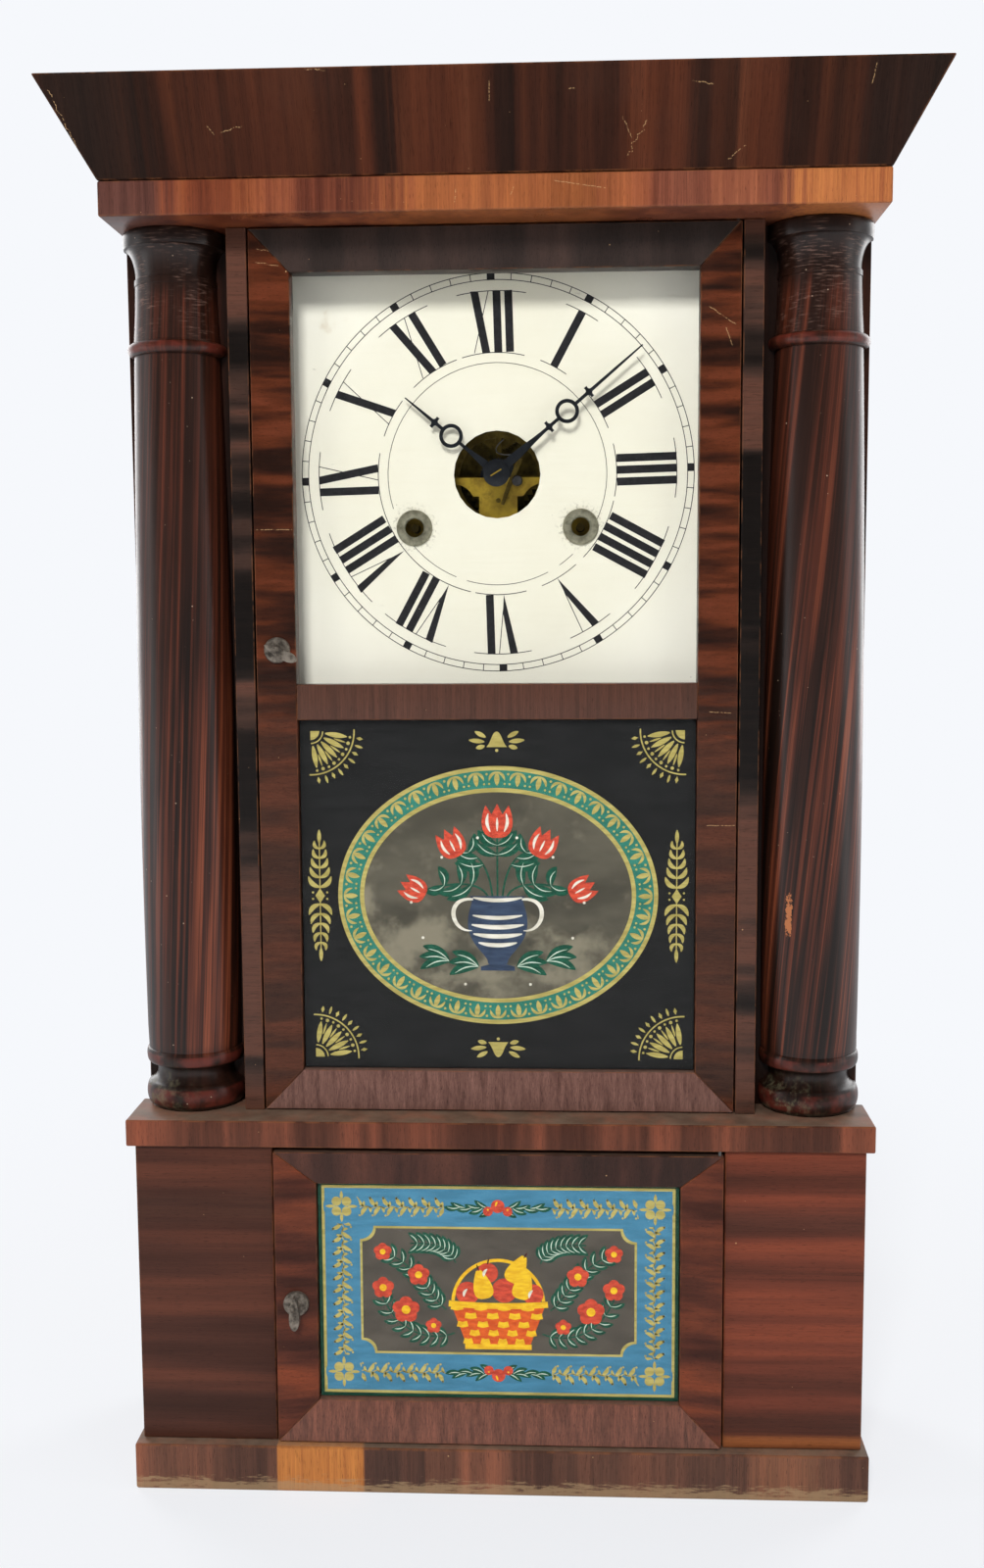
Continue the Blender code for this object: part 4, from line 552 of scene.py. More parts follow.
@dataclass(frozen=True)
class Metal(Finish):
    """Bare metal with tarnish, scratches and dirt."""

    bright: str
    dull: str
    dirt: str
    scale: float
    roughness: float
    stained: float
    metallic: float = 0.9
    slot: Slot = field(default=Slot.BRASS, kw_only=True)

    def build(self, shader: Shader) -> bpy.types.Material:
        """Build the tarnish, stains and fine scratches."""
        place = shader.place()
        cloud = shader.noise(place, self.scale, 5.0, 0.65)
        scratch = shader.noise(place, (900.0, 900.0, 60.0))
        stain = shader.noise(place, (95.0, 95.0, 95.0), 5.0, 0.7, shift=(1.3, 4.2, 0.7))
        dark = stain.ease(0.56, 0.72) * self.stained
        colour = shader.mix(cloud.ease(0.35, 0.7), tint(self.bright), tint(self.dull)).stain(dark, self.dirt)
        rough = self.roughness + cloud * 0.2 + dark * 0.3 + scratch * 0.08
        normal = shader.relief(scratch * 0.3 + stain * 0.7, 0.0002, 0.5)
        return shader.surface(Base_Color=colour, Roughness=rough, Normal=normal, Metallic=self.metallic)


@dataclass(frozen=True)
class Fibre(Finish):
    """Twisted natural fibre."""

    slot: Slot = field(default=Slot.CORD, kw_only=True)

    def build(self, shader: Shader) -> bpy.types.Material:
        """Build the strands' lay."""
        values = {"Vector": shader.place(), "Scale": (500.0, 500.0, 900.0)}
        lay = shader.link("ShaderNodeMapping", None, values)
        turn = shader.link("ShaderNodeTexWave", {"bands_direction": "DIAGONAL"},
                           {"Vector": lay, "Scale": 0.6, "Distortion": 1.2, "Detail": 2.0}, "Fac")
        return shader.surface(Base_Color=shader.ramp(turn, "4b3a26", "7a6243", "9c8260"),
                              Roughness=0.85 + turn * 0.1, Normal=shader.relief(turn, 0.0004, 0.8))


@dataclass(frozen=True)
class Pane(Finish):
    """Old clear glass, a little wavy and dusty."""

    slot: Slot = field(default=Slot.CLEAR_GLASS, kw_only=True)

    def build(self, shader: Shader) -> bpy.types.Material:
        """Build the waves and the faint dirt."""
        place = shader.place()
        dirt = shader.noise(place, 40.0, 5.0, 0.7)
        return shader.surface(Base_Color=shader.ramp(dirt, "06100c", "10140f"), Roughness=0.03 + dirt * 0.05,
                              Alpha=0.02 + dirt * 0.02,
                              Normal=shader.relief(shader.noise(place, 16.0, 1.0, 0.4), 0.0006, 0.4))


def patches(*rows: tuple, axis: Axis = Axis.X) -> tuple[Patch, ...]:
    """Give patches along an axis from rows of low, high, light, dark, share and soft."""
    return tuple(Patch(axis, *row) for row in rows)


def scratches(*rows: tuple) -> tuple[Scratch, ...]:
    """Give scratches from rows of x, z, length, degrees and bend."""
    return tuple(Scratch(*row) for row in rows)


BLACKISH = ("1f140f", "140d0a")
RUSSET = ("5e2f1c", "402014")
CORNICE = Veneer(
    "cornice_veneer", Axis.Z, ("20120c", "321a11", "442315", "56301f"), 0.026, 4.2,
    patches((-0.256, -0.195, "261b16", "17110e", 0.85, 0.03), (-0.160, -0.110, *RUSSET, 0.35, 0.03),
            (-0.072, -0.065, *RUSSET, 0.6, 0.006), (-0.064, -0.052, *BLACKISH, 0.75, 0.010),
            (-0.045, -0.012, *RUSSET, 0.45, 0.03), (0.002, 0.013, *BLACKISH, 0.70, 0.012),
            (0.075, 0.112, *RUSSET, 0.5, 0.02), (0.113, 0.119, *BLACKISH, 0.55, 0.008),
            (0.129, 0.138, *BLACKISH, 0.65, 0.010), (0.142, 0.160, *RUSSET, 0.55, 0.012),
            (0.163, 0.170, *BLACKISH, 0.60, 0.008), (0.186, 0.197, *BLACKISH, 0.65, 0.010),
            (0.205, 0.256, "271b16", "17110e", 0.8, 0.02)),
    scratches((0.0815, 0.801, 0.020, 58, 0.009), (0.0760, 0.806, 0.012, -62, 0.002),
              (0.1164, 0.8256, 0.012, -8, 0.002), (0.1365, 0.7935, 0.013, 36, 0.004),
              (-0.143, 0.8089, 0.014, 12, 0.003), (-0.155, 0.8085, 0.006, -50), (0.0454, 0.8242, 0.004, 0),
              (0.0005, 0.8238, 0.010, 88), (-0.2370, 0.815, 0.030, -68, 0.005),
              (-0.094, 0.835, 0.012, -5, 0.003), (0.208, 0.828, 0.010, 80)),
    gloss=0.40, streaky=0.4, low=0.30, high=0.72, through=True, polish=0.06)
CROWN = Veneer(
    "crown_veneer", Axis.Z, ("4f281d", "6c3928", "83482f", "995735"), 0.020, 9.1,
    patches((0.170, 0.232, "bd7840", "8c4c30", 0.8, 0.03), (-0.060, 0.070, "a46234", "7a4426", 0.6, 0.05),
            (-0.232, -0.185, "5e3e37", "36211d", 0.80, 0.02),
            (-0.180, -0.130, "74381f", "421e13", 0.65, 0.03),
            (0.092, 0.165, "86503c", "5a3025", 0.70, 0.03)),
    scratches((0.050, 0.779, 0.030, -9), (0.012, 0.776, 0.006, 70), (-0.02, 0.774, 0.008, 84)),
    gloss=0.24, streaky=0.7, specks=3.5)
SHELF = Veneer("shelf_veneer", Axis.Z, ("40241a", "5a3325", "723f2d", "8a4a33"), 0.022, 2.3, gloss=0.32,
               dust=0.30, specks=1.6)
PLINTH = Veneer(
    "plinth_veneer", Axis.Z, ("422c24", "5d3d30", "754938", "8a543e"), 0.030, 6.6,
    patches((-0.137, -0.083, "c4803f", "92552e", 0.95, 0.001),
            (-0.083, -0.045, "4a342c", "2c201c", 0.8, 0.004),
            (0.040, 0.150, "5c4034", "3a2822", 0.6, 0.03), (0.155, 0.195, "80563c", "5a4032", 0.5, 0.02)),
    scuff=0.020, gloss=0.42, streaky=0.65, specks=3.0)
BASE_LEFT = Veneer("base_left_veneer", Axis.X, ("321c14", "41251c", "4f2c20", "5d3426"), 0.030, 1.4,
                   patches((0.172, 0.186, "40291f", "2c1c17", 0.6, 0.012), axis=Axis.Z),
                   gloss=0.38, streaky=0.35)
BASE_RIGHT = Veneer("base_right_veneer", Axis.X, ("3f2117", "51291d", "653223", "783b27"), 0.026, 7.7,
                    patches((0.0296, 0.038, "b06a38", "7a4528", 0.6, 0.006),
                            (0.168, 0.182, "4c2c22", "38221b", 0.6, 0.012), axis=Axis.Z),
                    streaky=0.4, specks=1.5)
STILES = Veneer(
    "stile_veneer", Axis.X, ("1f100a", "361a0f", "4c2413", "62301d"), 0.015, 3.9,
    patches((0.225, 0.480, "4e3226", "30201a", 0.60, 0.08), axis=Axis.Z),
    scratches((-0.132, 0.591, 0.022, 0, 0.0006), (0.135, 0.413, 0.018, 1, 0.0006),
              (0.134, 0.481, 0.014, -2, 0.0006), (0.133, 0.712, 0.020, -35, 0.002),
              (0.137, 0.700, 0.012, -70), (-0.131, 0.752, 0.018, -12, 0.003),
              (-0.133, 0.745, 0.014, -9, 0.002)), dust=0.1, low=0.36, high=0.62)
# The pale mauve patch from z 0.230 to 0.262, on the door's sloping foot rail, is a painted reflection: a pale
# sheen on its face.
RAILS = Veneer("rail_veneer", Axis.Z, ("251c18", "2d231f", "352823", "40302a"), 0.034, 8.3,
               patches((0.470, 0.505, "5a3a2f", "3c2a23", 0.95, 0.002),
                       (0.230, 0.262, "7f5c52", "402924", 0.95, 0.002), axis=Axis.Z),
               dust=0.15, streaky=0.5, gloss=0.28)
LOWER_STILES = Veneer("lower_stile_veneer", Axis.X, ("341a12", "4a251a", "60301f", "7b3b23"), 0.018, 5.7,
                      dust=0.1)
LOWER_RAILS = Veneer("lower_rail_veneer", Axis.Z, ("2c1d18", "39241e", "462b23", "543328"), 0.024, 5.1,
                     patches((0.028, 0.0585, "865546", "42302a", 0.9, 0.002), axis=Axis.Z),
                     dust=0.1, streaky=0.5, gloss=0.28)
POSTS = Veneer("post_veneer", Axis.X, ("120e0c", "241b17", "3c2a23", "5c3a2e"), 0.048, 2.9, dust=0.1,
               low=0.42, high=0.58, streaky=0.3)
SIDES = Veneer("side_stain", Axis.Z, ("2a1610", "3e2016", "552c1d", "6c3b26"), 0.030, 6.1, dust=0.0,
               gloss=0.45, slot=Slot.DARK_VENEER)
RECESS = Veneer("recess_stain", Axis.Z, ("140c09", "21120d", "321a12", "42221a"), 0.020, 3.3, dust=0.0,
                gloss=0.42, slot=Slot.DARK_VENEER)
COLUMN_LEFT = GrainedPaint("column_left_paint", 1.7, 0.05)
COLUMN_RIGHT = GrainedPaint("column_right_paint", 6.4, 0.10, (0.0276, 0.359))
PINE = Pine("pine_upright")
PINE_LEVEL = Pine("pine_level", Axis.X)
BRASS = Metal("aged_brass", "cfae3e", "94762c", "2b2213", 70.0, 0.26, 0.5, 0.6)
# Duller, darker brass: partly tarnish, partly painted shade for the parts inside the movement and behind the
# front plate.
TARNISH_AND_SHADE_BRASS = Metal("brass_tarnish_and_shade", "9a8440", "5c4b22", "1c160d", 90.0, 0.36, 0.7)
# Painted shade: brass darkened nearly to brown, for the drums deep in the movement where shade falls.
SHADED_DRUM_BRASS = Metal("shaded_drum_brass", "4e401e", "2e2512", "14100a", 90.0, 0.5, 0.7)
GROMMET = Metal("grommet_metal", "a3a089", "77745f", "35322a", 220.0, 0.36, 0.5, 0.55, slot=Slot.STEEL)
STEEL = Metal("dull_steel", "7b7a78", "4c4a48", "2c2119", 80.0, 0.38, 0.5, slot=Slot.STEEL)
HAND_STEEL = Metal("hand_steel", "212429", "16181b", "151210", 160.0, 0.36, 0.4, 0.4, slot=Slot.DARK_STEEL)
IRON = Metal("cast_iron", "3a3632", "25211e", "4a2a18", 110.0, 0.58, 0.6, 0.6, slot=Slot.IRON)
CATCH_METAL = Metal("catch_bronze", "8a8074", "3d362f", "2b2520", 240.0, 0.34, 0.5, 0.6, slot=Slot.IRON)
CORD = Fibre("cord_fibre")
PANE = Pane("old_glass")
BROAD, SOFT, SHORT = (70.0, 70.0, 300.0), (150.0, 150.0, 400.0), (200.0, 200.0, 400.0)
NUMERAL_INK = Paint("numeral_paint", "2c2b2d", "202021", "d9d4bf", 0.22, (260.0, 260.0, 260.0), 0.34,
                    slot=Slot.DIAL_PAINT)
FINE_INK = Paint("fine_line_paint", "3f3d38", "2c2a27", "c9c3ad", 0.12, (160.0, 160.0, 160.0), 0.45,
                 slot=Slot.DIAL_PAINT)
GOLD = Paint("gold_paint", "c6b86e", "a89a55", "5d5537", 0.20, (60.0, 60.0, 420.0), 0.40, 0.20)
BLACK_GROUND = Paint("black_ground", "222222", "191919", "6a6a66", 0.03, (40.0, 40.0, 200.0), 0.40)
TEAL = Paint("teal_paint", "35806f", "2a6b5c", "7fae9c", 0.08, (50.0, 50.0, 260.0), 0.40)
MIRROR_GREY = Paint("silver_grey", "5f5b4e", "47443a", "8d877b", 0.08, (18.0, 18.0, 40.0), 0.34, 0.10,
                    "8f8874")
SLATE = Paint("slate_blue_paint", "3d4c63", "2c384c", "8f98a8", 0.08, BROAD, 0.36)
CREAM = Paint("cream_paint", "e6e2d4", "c9c4b2", "9c9584", 0.08, BROAD, 0.36)
CORAL = Paint("coral_paint", "d8543c", "a83a2a", "f0b49a", 0.08, (200.0, 200.0, 500.0), 0.36)
LEAF = Paint("leaf_green", "1e5a45", "12402f", "9ac0a4", 0.06, SHORT, 0.36)
SPRAY = Paint("pale_vein", "cfdccb", "a9bfa9", "6f8a74", 0.05, SHORT, 0.40)
BLUE = Paint("blue_paint", "4b86a4", "3f7691", "8fb4ce", 0.06, (45.0, 45.0, 220.0), 0.40)
EDGE_GREEN = Paint("edge_green", "1f4a38", "173a2c", "5d7a66", 0.08, (60.0, 60.0, 300.0), 0.36)
GREY_FIELD = Paint("grey_field", "5c564d", "4a453e", "7d786c", 0.05, (25.0, 25.0, 60.0), 0.36, 0.10)
ORANGE = Paint("orange_paint", "e0662a", "c24a20", "f2c39a", 0.05, SOFT, 0.36)
YELLOW = Paint("yellow_paint", "efc62c", "dca51e", "f6e7a8", 0.05, SOFT, 0.36)
BROWN = Paint("brown_paint", "4a1f19", "341512", "8f5a44", 0.05, SOFT, 0.36)


# Raw shapes


class Stock:
    """Raw shapes gathered into one mesh."""

    def __init__(self) -> None:
        """Start with nothing."""
        self.mesh = bmesh.new()
        self.worn = self.mesh.verts.layers.float.new("wear")

    def plate(self, shape: Shape, front: float, back: float) -> "Stock":
        """Add a flat sheet that faces the front, from its outline and then its holes."""
        loops = [[Vector((x, z, 0.0)) for x, z in loop] for loop in shape]
        points = [p for loop in loops for p in loop]
        near, far = ([self.mesh.verts.new((p.x, y, p.y)) for p in points] for y in (front, back))
        for a, b, c in tessellate_polygon(loops):
            level = (points[b] - points[a]).cross(points[c] - points[a]).z
            if abs(level) < 1e-14:
                continue
            if level < 0:
                b, c = c, b
            self.mesh.faces.new((near[a], near[b], near[c]))
            self.mesh.faces.new((far[a], far[c], far[b]))
        start = 0
        for loop in loops:
            for k in range(len(loop)):
                i, j = start + k, start + (k + 1) % len(loop)
                self.mesh.faces.new((near[i], near[j], far[j], far[i]))
            start += len(loop)
        return self._turn_out(near + far)

    def _turn_out(self, verts: Iterable[bmesh.types.BMVert]) -> "Stock":
        """Make the faces of some vertices point outwards."""
        faces = list(dict.fromkeys(f for v in verts for f in v.link_faces))
        bmesh.ops.recalc_face_normals(self.mesh, faces=faces)
        return self

    def _skin(self, rings: list[list[bmesh.types.BMVert]], steps: int, closed: bool = False) -> "Stock":
        """Join each ring of vertices, or single vertex, to the next, and the last to the first if closed."""
        for one, two in [*zip(rings, rings[1:]), *([(rings[-1], rings[0])] if closed else [])]:
            for k in range(steps):
                j = (k + 1) % steps
                corners = [one[k % len(one)], one[j % len(one)], two[j % len(two)], two[k % len(two)]]
                corners = list(dict.fromkeys(corners))
                if len(corners) > 2:
                    self.mesh.faces.new(corners)
        return self

    def slab(self, outline: Loop, front: Union[float, Sequence[float]], back: float, ease: float,
             segments: int = 3) -> "Stock":
        """Add a board cut to an outline, with eased edges and one front depth, or one for each corner."""
        fronts = [front] * len(outline) if isinstance(front, float) else front
        near, far = ([self.mesh.verts.new((x, y, z)) for (x, z), y in zip(outline, depths)]
                     for depths in (fronts, [back] * len(outline)))
        self._skin([near, far], len(outline))
        self.mesh.faces.new(near)
        self.mesh.faces.new(far)
        self._turn_out(near + far)
        edges = dict.fromkeys(e for v in near + far for e in v.link_edges)
        return self.ease(list(edges), ease, segments)

    def ease(self, edges: Sequence[bmesh.types.BMEdge], width: float, segments: int = 3) -> "Stock":
        """Round some edges, and mark the rounds as worn."""
        made = bmesh.ops.bevel(self.mesh, geom=list(edges), offset=width, segments=segments, profile=0.5,
                               affect="EDGES", clamp_overlap=True)
        rounds = set(made["faces"])
        for vert in made["verts"]:
            if vert.is_valid and all(f in rounds for f in vert.link_faces):
                vert[self.worn] = 1.0
        return self

    def copy(self, node: str, width: float = 0.0, segments: int = 3, limit: float = 30.0) -> "Stock":
        """Add a merged copy of a CAD node, with its sharp edges eased."""
        self.mesh.from_mesh(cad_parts[node].data)
        bmesh.ops.remove_doubles(self.mesh, verts=self.mesh.verts, dist=HAIR)
        self.worn = self.mesh.verts.layers.float.get("wear") or self.mesh.verts.layers.float.new("wear")
        bmesh.ops.dissolve_limit(self.mesh, angle_limit=math.radians(1.0), verts=self.mesh.verts,
                                 edges=self.mesh.edges)
        if width:
            sharp = math.radians(limit)
            edges = [e for e in self.mesh.edges if e.is_manifold and e.calc_face_angle() > sharp]
            self.ease(edges, width, segments)
        return self

    def slice(self, node: str, front: float) -> "Stock":
        """Add the part of a CAD node that lies behind a depth, closed where it is cut."""
        part = bmesh.new()
        part.from_mesh(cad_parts[node].data)
        bmesh.ops.remove_doubles(part, verts=part.verts, dist=HAIR)
        geometry = part.verts[:] + part.edges[:] + part.faces[:]
        cut = bmesh.ops.bisect_plane(part, geom=geometry, plane_co=(0, front, 0), plane_no=(0, -1, 0),
                                     clear_outer=True)
        rim = [g for g in cut["geom_cut"] if isinstance(g, bmesh.types.BMEdge)]
        bmesh.ops.holes_fill(part, edges=rim)
        data = bpy.data.meshes.new("slice")
        part.to_mesh(data)
        part.free()
        self.mesh.from_mesh(data)
        bpy.data.meshes.remove(data)
        return self

    def turning(self, profile: Sequence[Point], centre: Point, steps: int = 48, axis: Axis = Axis.Y,
                closed: bool = False) -> "Stock":
        """Add a turning.

        Args:
            profile: Points of (place along the axis, radius).
            centre: The axis's other two coordinates, in order.
            steps: How many steps go round.
            axis: The axis that it is turned about.
            closed: True where the profile runs back to its start, as a ring's does.

        Returns:
            The same stock.
        """
        rings = []
        for along, radius in profile:
            around = circle(*centre, radius, steps)[:steps if radius > HAIR else 1]
            places = [(u, along, v) if axis is Axis.Y else (u, v, along) for u, v in around]
            rings.append([self.mesh.verts.new(place) for place in places])
        self._skin(rings, steps, closed)
        return self._turn_out(v for ring in rings for v in ring)

    def tube(self, points: Sequence[Spot], radius: float, sides: int = 12) -> "Stock":
        """Add a round wire along points, with closed ends."""
        path = [Vector(p) for p in points]
        rings = []
        normal = None
        for k, here in enumerate(path):
            ahead = (path[min(k + 1, len(path) - 1)] - path[max(k - 1, 0)]).normalized()
            if normal is None:
                normal = ahead.orthogonal().normalized()
            normal = (normal - ahead * normal.dot(ahead)).normalized()
            other = ahead.cross(normal)
            rings.append([self.mesh.verts.new(here + normal * u + other * v)
                          for u, v in circle(0.0, 0.0, radius, sides)])
        self._skin(rings, sides)
        self.mesh.faces.new(rings[0])
        self.mesh.faces.new(rings[-1])
        return self._turn_out(v for ring in rings for v in ring)

    def made(self, name: str, crease: float = 35.0) -> bpy.types.Object:
        """Make the gathered shapes an object, smooth but for its sharp edges."""
        data = bpy.data.meshes.new(name)
        for face in self.mesh.faces:
            face.smooth = True
        self.mesh.to_mesh(data)
        self.mesh.free()
        data.set_sharp_from_angle(angle=math.radians(crease))
        obj = bpy.data.objects.new(name, data)
        bpy.context.scene.collection.objects.link(obj)
        return obj

    def fit(self, name: str, body: str, finish: Finish, *replaced: str) -> None:
        """Make the gathered shapes a finished piece of the clock."""
        settle(self.made(name), body, finish, *replaced)


def settle(obj: bpy.types.Object, body: str, finish: Finish, *replaced: str) -> None:
    """Give a piece its finish and its body, and report it.

    Args:
        obj: The piece.
        body: The CAD body that it rides on.
        finish: Its finish.
        replaced: The CAD nodes that it stands for.
    """
    obj.data.materials.clear()
    obj.data.materials.append(finish.material())
    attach(obj, body)
    if replaced:
        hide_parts(*replaced)
    LOG.info("%s on %s, %d faces", obj.name, body, len(obj.data.polygons))


def dress(nodes: str, finish: Finish) -> None:
    """Give CAD nodes that are kept a finish."""
    for node in nodes.split():
        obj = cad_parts[node]
        if not obj.material_slots:
            obj.data.materials.append(finish.material())
        for slot in obj.material_slots:
            slot.material = finish.material()
        LOG.info("%s keeps its CAD shape", node)


def middle(node: str) -> Point:
    """Give the X and Z of a CAD node's middle."""
    low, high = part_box(node)
    return (low.x + high.x) / 2, (low.z + high.z) / 2


# Outlines


def arc(x: float, z: float, radius: float, start: float, end: float, steps: int = 12) -> Loop:
    """Give points on a circle between two angles in degrees."""
    angles = [math.radians(start + (end - start) * k / steps) for k in range(steps + 1)]
    return [(x + radius * math.cos(a), z + radius * math.sin(a)) for a in angles]


def circle(x: float, z: float, radius: float, steps: int = 24) -> Loop:
    """Give a closed circle."""
    return arc(x, z, radius, 0.0, 360.0, steps)[:-1]


def oval(across: float, up: float, steps: int = 120) -> Loop:
    """Give a closed ellipse from its two half widths."""
    return [(across * u, up * v) for u, v in circle(0.0, 0.0, 1.0, steps)]


def rectangle(x0: float, x1: float, z0: float, z1: float) -> Loop:
    """Give a closed rectangle."""
    return [(x0, z0), (x1, z0), (x1, z1), (x0, z1)]


def centred(x: float, z: float) -> Loop:
    """Give a closed rectangle about the middle from its two half widths."""
    return rectangle(-x, x, -z, z)


def lozenge(x: float, z: float, across: float, up: float) -> Loop:
    """Give a lozenge about its middle."""
    return [(x, z - up), (x + across, z), (x, z + up), (x - across, z)]


def turn(loop: Loop, degrees: float) -> Loop:
    """Turn points clockwise, as seen from the front."""
    a = math.radians(degrees)
    return [(x * math.cos(a) + z * math.sin(a), z * math.cos(a) - x * math.sin(a)) for x, z in loop]


def shift(loop: Loop, x: float, z: float) -> Loop:
    """Move points."""
    return [(u + x, v + z) for u, v in loop]


def flip(loop: Loop) -> Loop:
    """Give the same loop on the other side of the middle line."""
    return [(-x, z) for x, z in loop]


def tip(loops: Iterable[Loop]) -> list[Loop]:
    """Give the same loops upside down."""
    return [[(x, -z) for x, z in loop] for loop in loops]


def whole(half: Loop) -> Loop:
    """Close a right half, drawn from its foot to its top, with its mirror image."""
    return half + flip(half)[::-1]


def both(loops: Iterable[Loop]) -> list[Shape]:
    """Give outlines, and the same on the other side of those that aren't in the middle."""
    made = []
    for loop in loops:
        central = abs(sum(x for x, _ in loop) / len(loop)) < HAIR
        made += [[loop]] if central else [[loop], [flip(loop)]]
    return made


def four(loops: Iterable[Loop]) -> list[Shape]:
    """Give outlines in all four corners."""
    return [shape for loop in loops for side in (loop, flip(loop)) for shape in ([side], tip([side]))]


def band(line: Loop, width: Union[float, Sequence[float]]) -> Loop:
    """Give a stroke along a line, with one half width or one for each point."""
    widths = [width] * len(line) if isinstance(width, float) else width
    left, right = [], []
    for k, (x, z) in enumerate(line):
        (x0, z0), (x1, z1) = line[max(k - 1, 0)], line[min(k + 1, len(line) - 1)]
        long = math.hypot(x1 - x0, z1 - z0) or 1.0
        nx, nz = -(z1 - z0) / long * widths[k], (x1 - x0) / long * widths[k]
        left.append((x + nx, z + nz))
        right.append((x - nx, z - nz))
    return left + right[::-1]


def curve(points: Sequence[Point], steps: int = 12) -> Loop:
    """Give a smooth Bezier curve from its control points."""
    line = []
    for k in range(steps + 1):
        t = k / steps
        level = list(points)
        while len(level) > 1:
            level = [(a[0] + (b[0] - a[0]) * t, a[1] + (b[1] - a[1]) * t) for a, b in zip(level, level[1:])]
        line.append(level[0])
    return line


def brush(points: Sequence[Point], width: float, steps: int, blunt: float = 0.15) -> Loop:
    """Give a brush stroke that swells and tapers along a smooth curve."""
    swell = [math.sin(math.pi * min(1.0, k / steps * 0.9 + 0.1)) ** 0.8 for k in range(steps + 1)]
    return band(curve(points, steps), [width * (blunt + (1 - blunt) * s) for s in swell])


def leaf(x: float, z: float, length: float, width: float, degrees: float, bend: float = 0.0) -> Loop:
    """Give a pointed leaf.

    Args:
        x: X of its foot.
        z: Z of its foot.
        length: How long it is.
        width: Its half width.
        degrees: Which way it points, clockwise from straight up.
        bend: How far its middle bows to the right.

    Returns:
        The leaf's outline.
    """
    steps = 8
    line = [(bend * math.sin(math.pi * k / steps), length * k / steps) for k in range(steps + 1)]
    widths = [width * math.sin(math.pi * (0.04 + 0.94 * k / steps)) ** 0.75 for k in range(steps + 1)]
    return shift(turn(band(line, widths), degrees), x, z)


# What repeats, in Geometry Nodes


class Row:
    """Copies of one small piece along a path, made with Geometry Nodes."""

    def __init__(self) -> None:
        """Build the tree: path, points along it, copies turned to its run, one mesh and one finish."""
        self.tree = bpy.data.node_groups.new("row_along_path", "GeometryNodeTree")
        ports = self.tree.interface
        inputs = {"Geometry": "NodeSocketGeometry", "Piece": "NodeSocketObject", "Count": "NodeSocketInt",
                  "Finish": "NodeSocketMaterial"}
        self.sockets = {title: ports.new_socket(title, in_out="INPUT", socket_type=kind).identifier
                        for title, kind in inputs.items()}
        ports.new_socket("Geometry", in_out="OUTPUT", socket_type="NodeSocketGeometry")
        entry = self._node("NodeGroupInput").outputs
        line = self._node("GeometryNodeMeshToCurve", {0: entry["Geometry"]})
        spaced = self._node("GeometryNodeResampleCurve", {"Curve": line.outputs[0], "Count": entry["Count"]})
        run = self._node("GeometryNodeInputTangent")
        facing = self._node("FunctionNodeAlignRotationToVector", {"Vector": run.outputs[0]})
        facing.axis, facing.pivot_axis = "X", "Y"
        source = self._node("GeometryNodeObjectInfo", {"Object": entry["Piece"]})
        links = {"Points": spaced.outputs[0], "Instance": source.outputs["Geometry"],
                 "Rotation": facing.outputs[0]}
        copies = self._node("GeometryNodeInstanceOnPoints", links)
        real = self._node("GeometryNodeRealizeInstances", {0: copies.outputs[0]})
        dressed = self._node("GeometryNodeSetMaterial", {"Geometry": real.outputs[0],
                                                         "Material": entry["Finish"]})
        self._node("NodeGroupOutput", {0: dressed.outputs[0]})

    def _node(self, kind: str, links: Optional[dict] = None) -> bpy.types.Node:
        """Add a node with its links."""
        made = self.tree.nodes.new(kind)
        for key, socket in (links or {}).items():
            self.tree.links.new(socket, made.inputs[key])
        return made

    def lay(self, name: str, body: str, finish: Finish, piece: Stock, path: Loop, depth: float,
            count: int) -> None:
        """Lay copies along a closed path, and finish them as one plain mesh.

        Args:
            name: Name of the finished piece.
            body: The CAD body that it rides on.
            finish: The copies' finish.
            piece: One copy, about the origin, with its length along X.
            path: The closed path's points, as seen from the front.
            depth: Y of the path.
            count: How many copies there are.
        """
        data = bpy.data.meshes.new(name)
        edges = [(k, (k + 1) % len(path)) for k in range(len(path))]
        data.from_pydata([(x, depth, z) for x, z in path], edges, [])
        host = bpy.data.objects.new(name, data)
        bpy.context.scene.collection.objects.link(host)
        one = piece.made(f"{name}_copy")
        step = host.modifiers.new("row", "NODES")
        step.node_group = self.tree
        for title, value in (("Piece", one), ("Count", count), ("Finish", finish.material())):
            step[self.sockets[title]] = value
        bpy.context.view_layer.update()
        host.data = bpy.data.meshes.new_from_object(host.evaluated_get(bpy.context.evaluated_depsgraph_get()))
        host.modifiers.remove(step)
        bpy.data.meshes.remove(data)
        host.data.name = name
        bpy.data.objects.remove(one, do_unlink=True)
        settle(host, body, finish)


# The case


